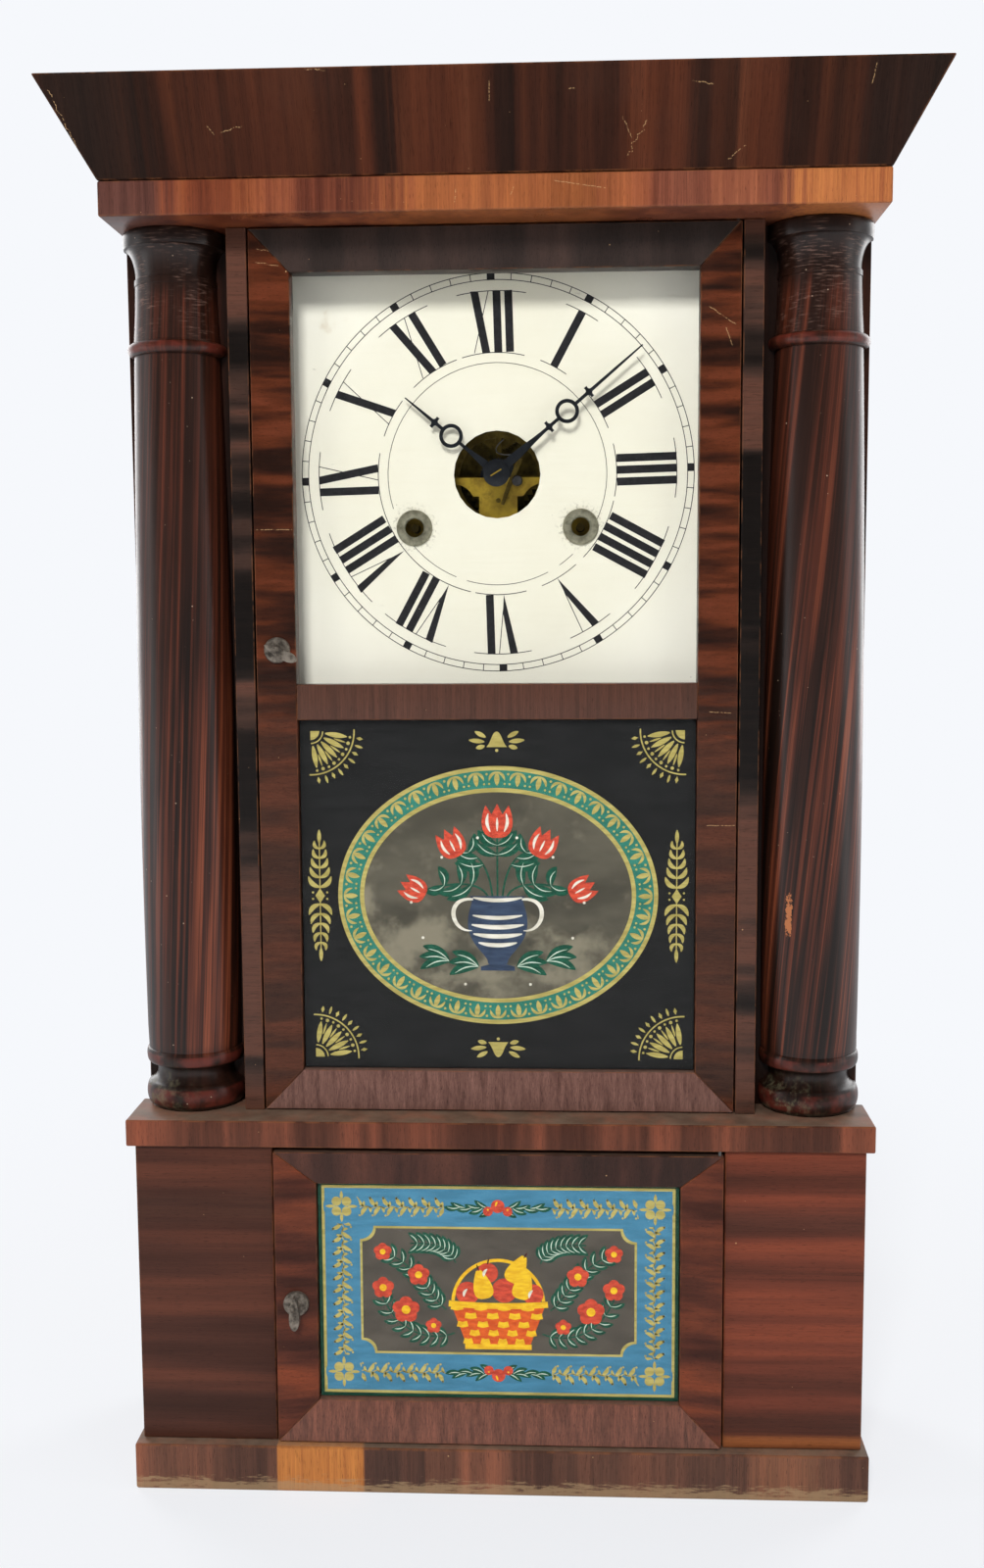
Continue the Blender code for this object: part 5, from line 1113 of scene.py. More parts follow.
@dataclass
class Case:
    """Plinth, base box, shelf, sides, back, recessed frame, posts, crown rail and cornice."""

    edge: float = 0.0011
    heavy_edge: float = 0.0016
    fine_edge: float = 0.0006
    back_inset: float = 0.0006
    nail_radius: float = 0.0022
    nail_rise: float = 0.0004
    nail_inset: float = 0.007
    nails: int = 34

    def build(self, row: Row) -> None:
        """Dress every board of the case."""
        edge, fine = self.edge, self.fine_edge
        for node, name, finish, ease in (
                ("plinth", "plinth_boards", PLINTH, self.heavy_edge),
                ("base_panel_left", "base_front_left", BASE_LEFT, edge),
                ("base_panel_right", "base_front_right", BASE_RIGHT, edge),
                ("shelf", "shelf_board", SHELF, edge),
                ("case_side_left", "left_side_board", SIDES, edge),
                ("case_side_right", "right_side_board", SIDES, edge),
                ("recess_frame", "recessed_front", RECESS, fine),
                ("door_post_left", "left_door_post", POSTS, edge),
                ("door_post_right", "right_door_post", POSTS, edge),
                ("crown_rail", "crown_rail_board", CROWN, edge),
                ("cornice", "cornice_boards", CORNICE, edge),
                ("top_board", "top_inner_board", PINE_LEVEL, fine),
                ("bottom_board", "bottom_inner_board", PINE_LEVEL, fine),
                ("movement_mount", "movement_rails", PINE, fine)):
            Stock().copy(node, ease).fit(name, "case", finish, node)
        self.build_back(row)

    def build_back(self, row: Row) -> None:
        """Build the backboard, set in a little, and the nails that hold it."""
        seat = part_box("backboard")[1].y - self.back_inset
        stock = Stock().copy("backboard")
        for vert in stock.mesh.verts:
            vert.co.y = min(vert.co.y, seat)
        stock.ease(stock.mesh.edges, self.fine_edge).fit("back_boards", "case", PINE, "backboard")
        low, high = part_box("case_side_left")[0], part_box("case_side_right")[1]
        inset, rise, radius = self.nail_inset, self.nail_rise, self.nail_radius
        head = [(-rise, 0.0), (-rise, radius), (0.0, radius), (rise, radius * 0.6), (rise, 0.0)]
        path = rectangle(low.x + inset, high.x - inset, low.z + inset, high.z - inset)
        row.lay("back_nails", "case", IRON, Stock().turning(head, (0.0, 0.0), 10), path, seat, self.nails)


@dataclass
class Columns:
    """The two half columns, turned and split."""

    axis_x: float = 0.192
    seat: float = -0.00485
    foot: float = 0.2353
    head: float = 0.7659
    steps: int = 72
    shaft_foot: float = 0.0293
    shaft_neck: float = 0.0260
    swell: float = 0.0020
    widest: float = 0.0310
    waist: float = 0.0240
    chart_width: float = 0.028
    worn_base: Point = (0.27, 0.0298)
    worn_ring: Spot = (0.69, 0.71, 0.0285)

    def bead(self, low: float, high: float, foot: float, reach: float, steps: int = 14) -> list[Point]:
        """Give a rounded ring from its top down, as (z, radius)."""
        centre, half = (low + high) / 2, (high - low) / 2
        angles = [math.pi / 2 - math.pi * k / steps for k in range(steps + 1)]
        return [(centre + half * math.sin(a), foot + (reach - foot) * math.cos(a)) for a in angles]

    def hollow(self, low: float, high: float, large: float, steps: int = 12) -> list[Point]:
        """Give a hollow that flares upwards from the waist, from its top down."""
        angles, deep = [math.pi / 2 * (1 - k / steps) for k in range(steps + 1)], large - self.waist
        return [(low + (high - low) * math.sin(a), large - deep * math.cos(a)) for a in angles]

    def profile(self) -> list[Point]:
        """Give the turning as (z, radius) from the top down."""
        head, foot, neck = self.head, self.foot, self.shaft_neck
        abacus = head - 0.009
        flare = abacus - 0.0175
        fillet = flare - 0.004
        ring_top = fillet - 0.033
        ring = ring_top - 0.008
        torus = foot + 0.0155
        hollow = torus + 0.012
        shaft = hollow + 0.009
        points = [(head, 0.0300), (head - 0.0006, 0.0307), (head - 0.0020, self.widest),
                  (abacus + 0.0030, self.widest), (abacus + 0.0012, 0.0308)]
        points += self.hollow(flare, abacus, 0.0305)
        points += [(flare - 0.0003, 0.0248), (fillet + 0.0003, 0.0249), (fillet, 0.0245)]
        for k in range(1, 8):
            points.append((fillet + (ring_top - fillet) * k / 8, 0.0245 + 0.0015 * (k / 8) ** 1.5))
        points += self.bead(ring, ring_top, neck, 0.0300)
        for k in range(1, 32):
            t = 1 - k / 32
            radius = self.shaft_foot + (neck - self.shaft_foot) * t
            points.append((shaft + (ring - shaft) * t, radius + 4 * self.swell * t * (1 - t)))
        points += self.bead(hollow, shaft, self.shaft_foot - 0.0003, 0.0305)
        points += self.hollow(torus + 0.006, hollow - 0.0006, 0.0265)
        points += [(torus + 0.004, 0.0243), (torus + 0.0016, 0.0256), (torus + 0.0006, 0.0270)]
        return points + self.bead(foot + 0.0004, torus, 0.0276, self.widest) + [(foot, 0.0280)]

    def build(self) -> None:
        """Build both half columns."""
        self.build_column("left", -self.axis_x, COLUMN_LEFT)
        self.build_column("right", self.axis_x, COLUMN_RIGHT)

    def build_column(self, side: str, x: float, finish: Finish) -> None:
        """Build one half column with its surface map."""
        stock = Stock()
        mesh = stock.mesh
        chart = mesh.loops.layers.uv.new("grain")
        profile = self.profile()
        grid = [[mesh.verts.new((u, y, z)) for u, y in arc(x, self.seat, radius, 180, 360, self.steps)]
                for z, radius in profile]
        for i in range(len(profile) - 1):
            for k in range(self.steps):
                spots = ((i, k), (i + 1, k), (i + 1, k + 1), (i, k + 1))
                face = mesh.faces.new([grid[row][step] for row, step in spots])
                for corner, (row, step) in zip(face.loops, spots):
                    corner[chart].uv = (math.pi * step / self.steps * self.chart_width, profile[row][0])
        mesh.faces.new(grid[0])
        mesh.faces.new(grid[-1][::-1])
        mesh.faces.new([row[0] for row in grid][::-1] + [row[-1] for row in grid])
        top, base = self.worn_base
        low, high, ring = self.worn_ring
        for row, (z, radius) in zip(grid, profile):
            proud = (z < top and radius > base) or (low < z < high and radius > ring)
            for vert in row:
                vert[stock.worn] = 1.0 if proud else 0.0
        bmesh.ops.recalc_face_normals(mesh, faces=mesh.faces)
        settle(stock.made(f"{side}_half_column", 38.0), "case", finish, f"column_{side}")


# Doors


@dataclass
class Door:
    """The frame of a glazed door: mitred stiles and rails, which stand for one CAD solid."""

    kind: str
    stiles: Veneer
    rails: Veneer
    opening: float
    sill: float
    head: float
    mid: Optional[Point] = None
    ease: float = 0.0007
    joint: float = 0.00004
    slope: float = 0.0030
    proud: float = 0.0004

    def build(self) -> None:
        """Build the stiles and rails, which slope in towards the pane."""
        low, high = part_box(f"{self.kind}_door_frame")
        side, half, back = high.x, self.opening, high.y
        out, inner = low.y, low.y + self.slope
        left = [(-side, low.z), (-half, self.sill), (-half, self.head), (-side, high.z)]
        side, half = side - self.joint, half - self.joint
        top = [(-side, high.z), (-half, self.head), (half, self.head), (side, high.z)]
        foot = [(-side, low.z), (side, low.z), (half, self.sill), (-half, self.sill)]
        depths = [out, inner, inner, out]
        stock = Stock().slab(left, depths, back, self.ease).slab(flip(left)[::-1], depths, back, self.ease)
        stock.fit(f"{self.kind}_door_stiles", f"{self.kind}_door", self.stiles, f"{self.kind}_door_frame")
        stock = Stock().slab(top, depths, back, self.ease)
        stock.slab(foot, [out, out, inner, inner], back, self.ease)
        if self.mid:
            stock.slab(rectangle(-half, half, *self.mid), inner - self.proud, back, self.ease)
        stock.fit(f"{self.kind}_door_rails", f"{self.kind}_door", self.rails)


@dataclass
class Catch:
    """A turn catch: domed plate, oblong knob and the tongue behind the stile."""

    kind: str
    z: float
    knob_degrees: float
    inset: float = 0.0125
    plate: float = 0.0078
    reach: float = 0.0140
    tail: float = 0.0070

    def build(self) -> None:
        """Build the catch over its CAD solid."""
        low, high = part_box(f"{self.kind}_door_frame")
        x, z, seat, back, rim = low.x + self.inset, self.z, low.y - 0.0002, high.y, self.plate
        front = seat - 0.0012
        dome = [(seat + 0.0026, 0.0), (seat + 0.0026, rim), (seat, rim), (seat - 0.0007, rim - 0.0004)]
        dome += [(front + 0.0002 - 0.0004 * math.sin(t * math.pi / 2), rim - 0.0008 - 0.0040 * t)
                 for t in (0.0, 0.25, 0.5, 0.75, 1.0)]
        dome += [(front - 0.0008, 0.0027), (front - 0.0032, 0.0024), (front - 0.0038, 0.0)]
        centre, half = (self.reach - self.tail) / 2, (self.reach + self.tail) / 2
        knob = [((0.0030 + 0.0010 * v) * u, centre + v * half) for u, v in circle(0.0, 0.0, 1.0, 28)]
        shaft = [(back - 0.0002, 0.0), (back - 0.0002, 0.0019), (back + 0.0018, 0.0019), (back + 0.0018, 0.0)]
        tongue = rectangle(x - 0.003, x + 0.003, z - 0.017, z + 0.003)
        stock = Stock().turning(dome, (x, z), 40)
        stock.slab(shift(turn(knob, self.knob_degrees), x, z), front - 0.0066, front - 0.0026, 0.0016, 5)
        stock.turning(shaft, (x, z), 20).slab(tongue, back + 0.0003, back + 0.0023, 0.0005)
        stock.fit(f"{self.kind}_turn_catch", f"{self.kind}_catch", CATCH_METAL, f"{self.kind}_catch")


# Painted tablets


@dataclass
class Tablet:
    """A pane painted on its back, in coats that lie behind the glass, each shape a step off the last."""

    node: str
    body: str
    step: float = 0.0000002
    border: float = 9.0

    def behind(self, depth: float) -> float:
        """Give Y at a depth behind the glass in hundredths of a millimetre."""
        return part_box(self.node)[1].y + depth * MM / 100

    def paint(self, name: str, depth: float, finish: Finish, shapes: Iterable[Shape],
              size: float = 1.0) -> None:
        """Lay one colour behind the glass.

        Args:
            name: Name of the piece.
            depth: How far behind the glass its front lies, in hundredths of a millimetre.
            finish: Its colour.
            shapes: Outlines about the pane's middle, each with its holes.
            size: How many times larger than drawn they are painted.
        """
        stock = Stock()
        for count, shape in enumerate(shapes):
            near = self.behind(depth) - count * self.step
            loops = [shift([(size * u, size * v) for u, v in loop], *middle(self.node)) for loop in shape]
            stock.plate(loops, near, near + FILM)
        stock.fit(name, self.body, finish)

    def line(self, row: Row, name: str, motif: Iterable[Loop], path: Loop, count: int) -> None:
        """Lay a small gilt motif along a closed path about the pane's middle."""
        stock = Stock()
        for loop in motif:
            stock.plate([loop], 0.0, FILM)
        row.lay(name, self.body, GOLD, stock, shift(path, *middle(self.node)), self.behind(self.border),
                count)


class Foliage:
    """Leaves with a pale vein on each."""

    def __init__(self) -> None:
        """Start bare."""
        self.leaves: list[Loop] = []
        self.veins: list[Loop] = []

    def add(self, x: float, z: float, degrees: float, blade: Spot, vein: Spot, side: int = 1) -> None:
        """Add a leaf at its foot, with the length, half width and bow of its blade and of its vein."""
        for loops, (length, width, bow) in ((self.leaves, blade), (self.veins, vein)):
            loops.append(leaf(x, z, length, width, degrees, side * bow))


@dataclass
class UpperTablet:
    """Black ground with an oval teal band, gilt fans and ladders, and an urn of tulips."""

    half: Point = (0.1200, 0.1080)
    outer: Point = (0.098, 0.080)
    inner: Point = (0.082, 0.064)
    edge: float = 0.0026
    margin: float = 0.0065
    ear: float = 0.0108
    end: float = 0.0135

    def build(self, row: Row) -> None:
        """Paint the tablet."""
        pane = Tablet("upper_tablet", "upper_door")
        (ax, az), (bx, bz), w = self.outer, self.inner, self.edge
        pane.paint("tablet_black_ground", 20.0, BLACK_GROUND, [[centred(*self.half)]])
        pane.paint("tablet_gold_lines", 8.0, GOLD, [[oval(ax, az), oval(ax - w, az - w)],
                                                    [oval(bx + w, bz + w), oval(bx, bz)]])
        pane.paint("tablet_teal_band", 12.0, TEAL, [[oval(ax - w / 2, az - w / 2), oval(bx, bz)]])
        pane.paint("tablet_mirror_oval", 15.0, MIRROR_GREY, [[oval(bx + w / 2, bz + w / 2)]])
        bud = (leaf(0, -0.0042, 0.0082, 0.0016, 0), leaf(0, -0.0044, 0.0072, 0.0009, 42, 0.0012),
               leaf(0, -0.0044, 0.0072, 0.0009, -42, -0.0012), circle(0.0047, 0.0030, 0.0007, 8),
               circle(-0.0047, 0.0030, 0.0007, 8), circle(0.0062, -0.0030, 0.0008, 8))
        pane.line(row, "tablet_band_buds", bud, oval((ax + bx) / 2, (az + bz) / 2, 180), 40)
        pane.paint("tablet_gold_ornaments", 5.0, GOLD, self.fans() + self.ladders() + self.ends())
        self.build_urn(pane)
        self.build_tulips(pane)

    def fans(self) -> list[Shape]:
        """Give a quarter fan of gilt blades in each corner."""
        x, z = (side - self.margin for side in self.half)
        blades = (leaf(0, 0.0092, 0.0135, 0.0016, 0), circle(0, 0.0245, 0.0008, 10),
                  lozenge(0, 0.0305, 0.0011, 0.0022))
        between = (leaf(0, 0.0150, 0.0075, 0.0006, 0), circle(0, 0.0242, 0.0011, 10),
                   leaf(0, 0.0285, 0.0050, 0.0008, 0))
        loops = [[*arc(x, z, 0.0055, 180, 270, 10), (x, z)], band(arc(x, z, 0.0076, 182, 268, 12), 0.0004)]
        for parts, start, count in ((blades, 189, 5), (between, 198, 4)):
            loops += [shift(turn(loop, start + 18 * k), x, z) for k in range(count) for loop in parts]
        return four([*loops, band(arc(x, z, 0.0268, 178, 272, 24), 0.00045)])

    def ladders(self) -> list[Shape]:
        """Give an upright ear of curled leaves with a lozenge in its middle at each side."""
        x = self.half[0] - self.ear
        loops = [lozenge(x, 0.0, 0.0030, 0.0046), band([(x, -0.0335), (x, 0.0335)], 0.00035)]
        for k in range(5):
            z, tall = 0.0052 + 0.0060 * k, 0.0098 - 0.0010 * k
            for way in (-1, 1):
                petal = leaf(0, 0, tall, 0.0015 - 0.0001 * k, way * (46 - 4 * k), way * 0.0016)
                loops += [shift(petal, x, z), shift(tip([petal])[0], x, -z)]
        for way in (-1, 1):
            loops += [leaf(x, way * 0.0325, 0.0085, 0.0012, 0 if way > 0 else 180)]
            loops += [circle(x + side * 0.0044, way * 0.0020, 0.0007, 8) for side in (-1, 1)]
        return both(loops)

    def ends(self) -> list[Shape]:
        """Give a bell with side sprays at the middle of the top and bottom."""
        z = self.half[1] - self.end
        bell = curve([(0.0, 0.0065), (0.0030, 0.0060), (0.0028, 0.0010), (0.0062, -0.0030)], 8)
        sprays = [shift(turn(leaf(0, 0.0075, reach, 0.0014, 0), degrees), 0, z - 0.0005)
                  for degrees, reach in ((62, 0.0075), (84, 0.0095), (104, 0.0055))]
        made = both(sprays) + [[shift(whole(bell), 0, z)], [circle(0, z - 0.0050, 0.0010, 10)]]
        return made + [tip(shape) for shape in made]

    def build_urn(self, pane: Tablet) -> None:
        """Paint the urn on the grey oval."""
        side = [(0.0105, -0.0465), (0.0105, -0.0440), (0.0050, -0.0425)]
        side += curve([(0.0060, -0.0420), (0.0060, -0.0330), (0.0250, -0.0310), (0.0215, -0.0080),
                       (0.0120, -0.0050), (0.0170, 0.0000)], 26)
        pane.paint("tablet_urn", 7.5, SLATE, [[whole(side)]])
        bands = []
        shares = [k / 8 for k in range(-8, 9)]
        for z, wide, thick in ((-0.0290, 0.0118, 0.0013), (-0.0235, 0.0150, 0.0014),
                               (-0.0178, 0.0160, 0.0014), (-0.0120, 0.0152, 0.0012),
                               (-0.0010, 0.0150, 0.0012)):
            line = [(wide * t, z - 0.0016 * (1 - t ** 2)) for t in shares]
            bands.append([band(line, [thick * (1 - 0.75 * abs(t) ** 3) for t in shares])])
        handle = [(0.0150, -0.0020), (0.0330, 0.0000), (0.0290, -0.0230), (0.0158, -0.0215)]
        pane.paint("tablet_urn_bands", 2.0, CREAM, bands + both([brush(handle, 0.0013, 16)]))

    def build_tulips(self, pane: Tablet) -> None:
        """Paint the tulips over the urn, their leaves and the leaves under it."""
        stems, heads, petals, green = [], [], [], Foliage()
        for reach, top, size in ((0.0, 0.0480, 1.40), (0.0250, 0.0360, 1.25), (0.0460, 0.0110, 1.15)):
            line = curve([(reach * 0.12, -0.001), (reach * 0.12 + reach * 0.1, top * 0.6 + 0.004),
                          (reach * 0.7, top * 0.8), (reach, top - 0.009)], 14)
            stems.append(band(line, 0.0006))
            lean = math.degrees(math.atan2(reach, top + 0.03)) * 1.25
            for loops, parts in ((heads, self.tulip()), (petals, self.tulip_lights())):
                large = [[(x * size, z * size) for x, z in loop] for loop in parts]
                loops += [shift(turn(loop, lean), reach, top - 0.010) for loop in large]
            for k, share in enumerate((0.36, 0.56, 0.76)):
                blade, vein = (0.0175 - 0.0026 * k, 0.0031, 0.0018), (0.0140 - 0.0022 * k, 0.00032, 0.0016)
                for side in (-1, 1) if reach > 0.03 or k == 2 and reach else (1,):
                    green.add(*line[int(share * 14)], lean + side * (60 - 8 * k), blade, vein, side)
        for degrees in (60, 82, 106):
            for z, x in ((-0.044, 0.012), (-0.0405, 0.030)):
                green.add(x, z, degrees, (0.0185, 0.0031, -0.0018), (0.0150, 0.00040, -0.0016))
        pane.paint("tablet_stems", 11.0, LEAF, both(stems) + both(green.leaves))
        pane.paint("tablet_leaf_veins", 9.0, SPRAY, both(green.veins))
        pane.paint("tablet_tulips", 5.0, CORAL, both(heads))
        dots = [circle(x, z, 0.0009, 8) for x, z in ((0.012, 0.036), (0.034, 0.024), (0.053, -0.004),
                                                     (0.046, -0.026), (0.020, -0.055))]
        pane.paint("tablet_tulip_lights", 2.5, CREAM, both(petals) + both(dots))

    def tulip(self) -> list[Loop]:
        """Give a tulip's petals about its foot."""
        cup = curve([(0.0, -0.0015), (0.0085, -0.0020), (0.0075, 0.0075), (0.0050, 0.0128)], 10)
        cup.append((0.0024, 0.0088))
        return [cup + [(0.0, 0.0135)] + flip(cup)[::-1]]

    def tulip_lights(self) -> list[Loop]:
        """Give the pale strokes on a tulip's petals."""
        sides = [leaf(way * 0.0030, 0.0012, 0.0082, 0.0007, way * 6, way * 0.0010) for way in (-1, 1)]
        return sides + [leaf(0.0, 0.0015, 0.0060, 0.0005, 0)]


@dataclass
class LowerTablet:
    """Blue border with gilt running leaves, and a basket of fruit on a grey field."""

    half: Point = (0.1105, 0.0688)
    field: Point = (0.0836, 0.0395)
    green: float = 0.0022
    gold: float = 0.0018
    notch: float = 0.0085
    large: float = 1.3

    def build(self, row: Row) -> None:
        """Paint the tablet."""
        pane = Tablet("lower_tablet", "lower_door")
        x, z = (side - self.green for side in self.half)
        w = self.gold
        pane.paint("lower_green_edge", 12.0, EDGE_GREEN, [[centred(*self.half), centred(x, z)]])
        pane.paint("lower_gold_line", 12.0, GOLD, [[centred(x, z), centred(x - w, z - w)],
                                                   [self.notched(0.0014), self.notched(0.0)]])
        pane.paint("lower_blue_field", 20.0, BLUE, [[centred(x, z)]])
        pane.paint("lower_grey_field", 16.0, GREY_FIELD, [[self.notched(0.0)]])
        self.build_border(pane, row)
        self.build_berries(pane)
        self.build_basket(pane)
        self.build_sprigs(pane)

    def lane(self) -> Point:
        """Give the half widths of the border's middle line."""
        x, z = ((outer + inner) / 2 - MM for outer, inner in zip(self.half, self.field))
        return x, z

    def notched(self, grow: float) -> Loop:
        """Give the grey field's outline, with hollow corners."""
        x, z = self.field[0] + grow, self.field[1] + grow
        corners = ((x, z, 180), (-x, z, 270), (-x, -z, 0), (x, -z, 90))
        return [p for u, v, start in corners for p in arc(u, v, self.notch, start, start + 90, 8)[::-1]]

    def build_border(self, pane: Tablet, row: Row) -> None:
        """Lay running gilt leaves along the border, and a quatrefoil in each corner."""
        spray = (band(curve([(-0.0040, 0.0012), (0.0, -0.0016), (0.0040, 0.0012)], 8), 0.0003),
                 leaf(-0.0015, 0.0, 0.0070, 0.0013, 34, 0.0008),
                 leaf(0.0012, -0.0004, 0.0070, 0.0013, 146, -0.0008), circle(0.0036, 0.0056, 0.0007, 8),
                 circle(-0.0030, -0.0054, 0.0007, 8), leaf(-0.0020, 0.0002, 0.0038, 0.0009, -20, -0.0005),
                 leaf(0.0022, 0.0, 0.0038, 0.0009, 200, 0.0005))
        pane.line(row, "lower_running_leaves", spray, centred(*self.lane()), 74)
        loops = []
        for k in range(4):
            loops += [shift(turn(circle(0, 0.0044, 0.0030, 16), 90 * k + 45), *self.lane()),
                      shift(turn(leaf(0, 0.0040, 0.0058, 0.0010, 0), 90 * k), *self.lane())]
        pane.paint("lower_corner_patches", 8.0, BLUE, four([circle(*self.lane(), 0.0112, 28)]))
        pane.paint("lower_quatrefoils", 6.0, GOLD, four(loops))

    def build_berries(self, pane: Tablet) -> None:
        """Paint red berries with green leaves at the middle of the top and bottom."""
        z = self.lane()[1]
        gap = [rectangle(-0.0330, 0.0330, z - 0.0068, z + 0.0068)]
        green = Foliage()
        for x, lean in ((0.006, 60), (0.011, 78), (0.016, 98), (0.020, 70), (0.0235, 88), (0.009, 112),
                        (0.004, 128)):
            green.add(x, z, lean, (0.0095, 0.0018, 0.0008), (0.0075, 0.0003, 0.0007))
        fruit = [circle(0.0, z + 0.0010, 0.0042, 20), circle(0.0060, z - 0.0022, 0.0030, 18),
                 circle(-0.0060, z - 0.0022, 0.0030, 18)]
        lights = [leaf(-0.0015, z + 0.0010, 0.0034, 0.0006, 20), circle(0.0060, z - 0.0012, 0.0006, 8),
                  circle(-0.0060, z - 0.0012, 0.0006, 8)]
        pane.paint("lower_border_gaps", 8.0, BLUE, [gap, tip(gap)])
        pane.paint("lower_berry_leaves", 6.0, LEAF, four(green.leaves))
        pane.paint("lower_berry_veins", 4.5, SPRAY, four(green.veins))
        pane.paint("lower_berries", 4.0, CORAL, [[loop] for loop in fruit + tip(fruit)])
        pane.paint("lower_berry_lights", 2.5, YELLOW, [[loop] for loop in lights + tip(lights)])

    def build_basket(self, pane: Tablet) -> None:
        """Paint the basket and its fruit."""
        weave = []
        for r in range(5):
            z = -0.0245 + r * 0.0042
            wide = 0.0155 + 0.0075 * (z + 0.0270) / 0.0210
            for x in [wide * (k / 4 - 1) for k in range(r % 2, 8, 2)]:
                weave.append(band([(x, z), (x + wide / 8, z - 0.0006), (x + wide / 4, z)], 0.0014))
        rim = band([(0.0235 * t, -0.0062 - 0.0010 * (1 - t ** 2)) for t in (k / 10 for k in range(-10, 11))],
                   0.0015)
        base = band([(0.0158 * k / 6, -0.0274) for k in range(-6, 7)], 0.0013)
        apples = ((-0.0145, -0.0010, 0.0056), (0.0030, 0.0005, 0.0060), (0.0165, -0.0012, 0.0050),
                  (-0.0050, 0.0090, 0.0050))
        pear = whole(curve([(0.0, -0.0015), (0.0078, -0.0020), (0.0040, 0.0080), (0.0012, 0.0128)], 10))
        for name, depth, finish, loops in (
                ("basket", 9.0, ORANGE, [[(-0.0150, -0.0270), (0.0150, -0.0270), (0.0225, -0.0060),
                                          (-0.0225, -0.0060)]]),
                ("basket_weave", 7.0, YELLOW, weave + [rim, base]),
                ("basket_handle", 9.5, YELLOW, [band(arc(0, -0.0062, 0.0215, 4, 176, 30), 0.0008)]),
                ("apples", 8.0, CORAL, [circle(*apple, 22) for apple in apples]),
                ("pears", 6.0, YELLOW, [shift(turn(pear, lean), x, z) for x, z, lean in (
                    (-0.0062, -0.0022, -14), (0.0105, -0.0022, 16), (0.0065, 0.0060, 28))]),
                ("fruit_lights", 4.0, CREAM, [leaf(x - 0.0018, z - 0.0018, 0.0042, 0.0007, 24, -0.0006)
                                              for x, z, _ in (apples[0], *apples[2:])]),
                ("stalks", 4.0, BROWN, [leaf(x, z, 0.0034, 0.0004, lean) for x, z, lean in (
                    (-0.0050, 0.0132, 12), (-0.0090, 0.0100, -20), (0.0122, 0.0165, 30))])):
            pane.paint(f"lower_{name}", depth, finish, [[loop] for loop in loops], self.large)

    def build_sprigs(self, pane: Tablet) -> None:
        """Paint leafy sprigs with small blossoms on both sides of the basket."""
        stems, bloom, hearts, green = [], [], [], Foliage()
        for run in ([(0.0270, -0.0270), (0.0440, -0.0340), (0.0640, -0.0260), (0.0720, -0.0020)],
                    [(0.0320, -0.0120), (0.0430, -0.0040), (0.0480, 0.0160), (0.0700, 0.0240)],
                    [(0.0260, 0.0180), (0.0300, 0.0270), (0.0380, 0.0310), (0.0540, 0.0300)]):
            line = curve(run, 20)
            stems.append(band(line, 0.0005))
            for k in range(2, 20, 2):
                (x0, z0), (x, z) = line[k - 1], line[k]
                heading = math.degrees(math.atan2(x - x0, z - z0))
                for side in (-1, 1):
                    green.add(x, z, heading + side * 48, (0.0088, 0.0019, 0.0009), (0.0070, 0.00032, 0.0008),
                              side)
        for x, z, r in ((0.0710, 0.0015, 0.0066), (0.0570, -0.0125, 0.0082), (0.0710, 0.0245, 0.0054),
                        (0.0490, 0.0100, 0.0066), (0.0400, -0.0225, 0.0048)):
            bloom += [shift(turn(circle(0, r * 0.55, r * 0.50, 14), 72 * k), x, z) for k in range(5)]
            hearts.append(circle(x, z, r * 0.34, 12))
        pane.paint("lower_sprigs", 10.0, LEAF, both(stems) + both(green.leaves))
        pane.paint("lower_sprig_veins", 8.0, SPRAY, both(green.veins))
        pane.paint("lower_blossoms", 6.0, CORAL, both(bloom))
        pane.paint("lower_blossom_hearts", 4.0, YELLOW, both(hearts))


# Dial


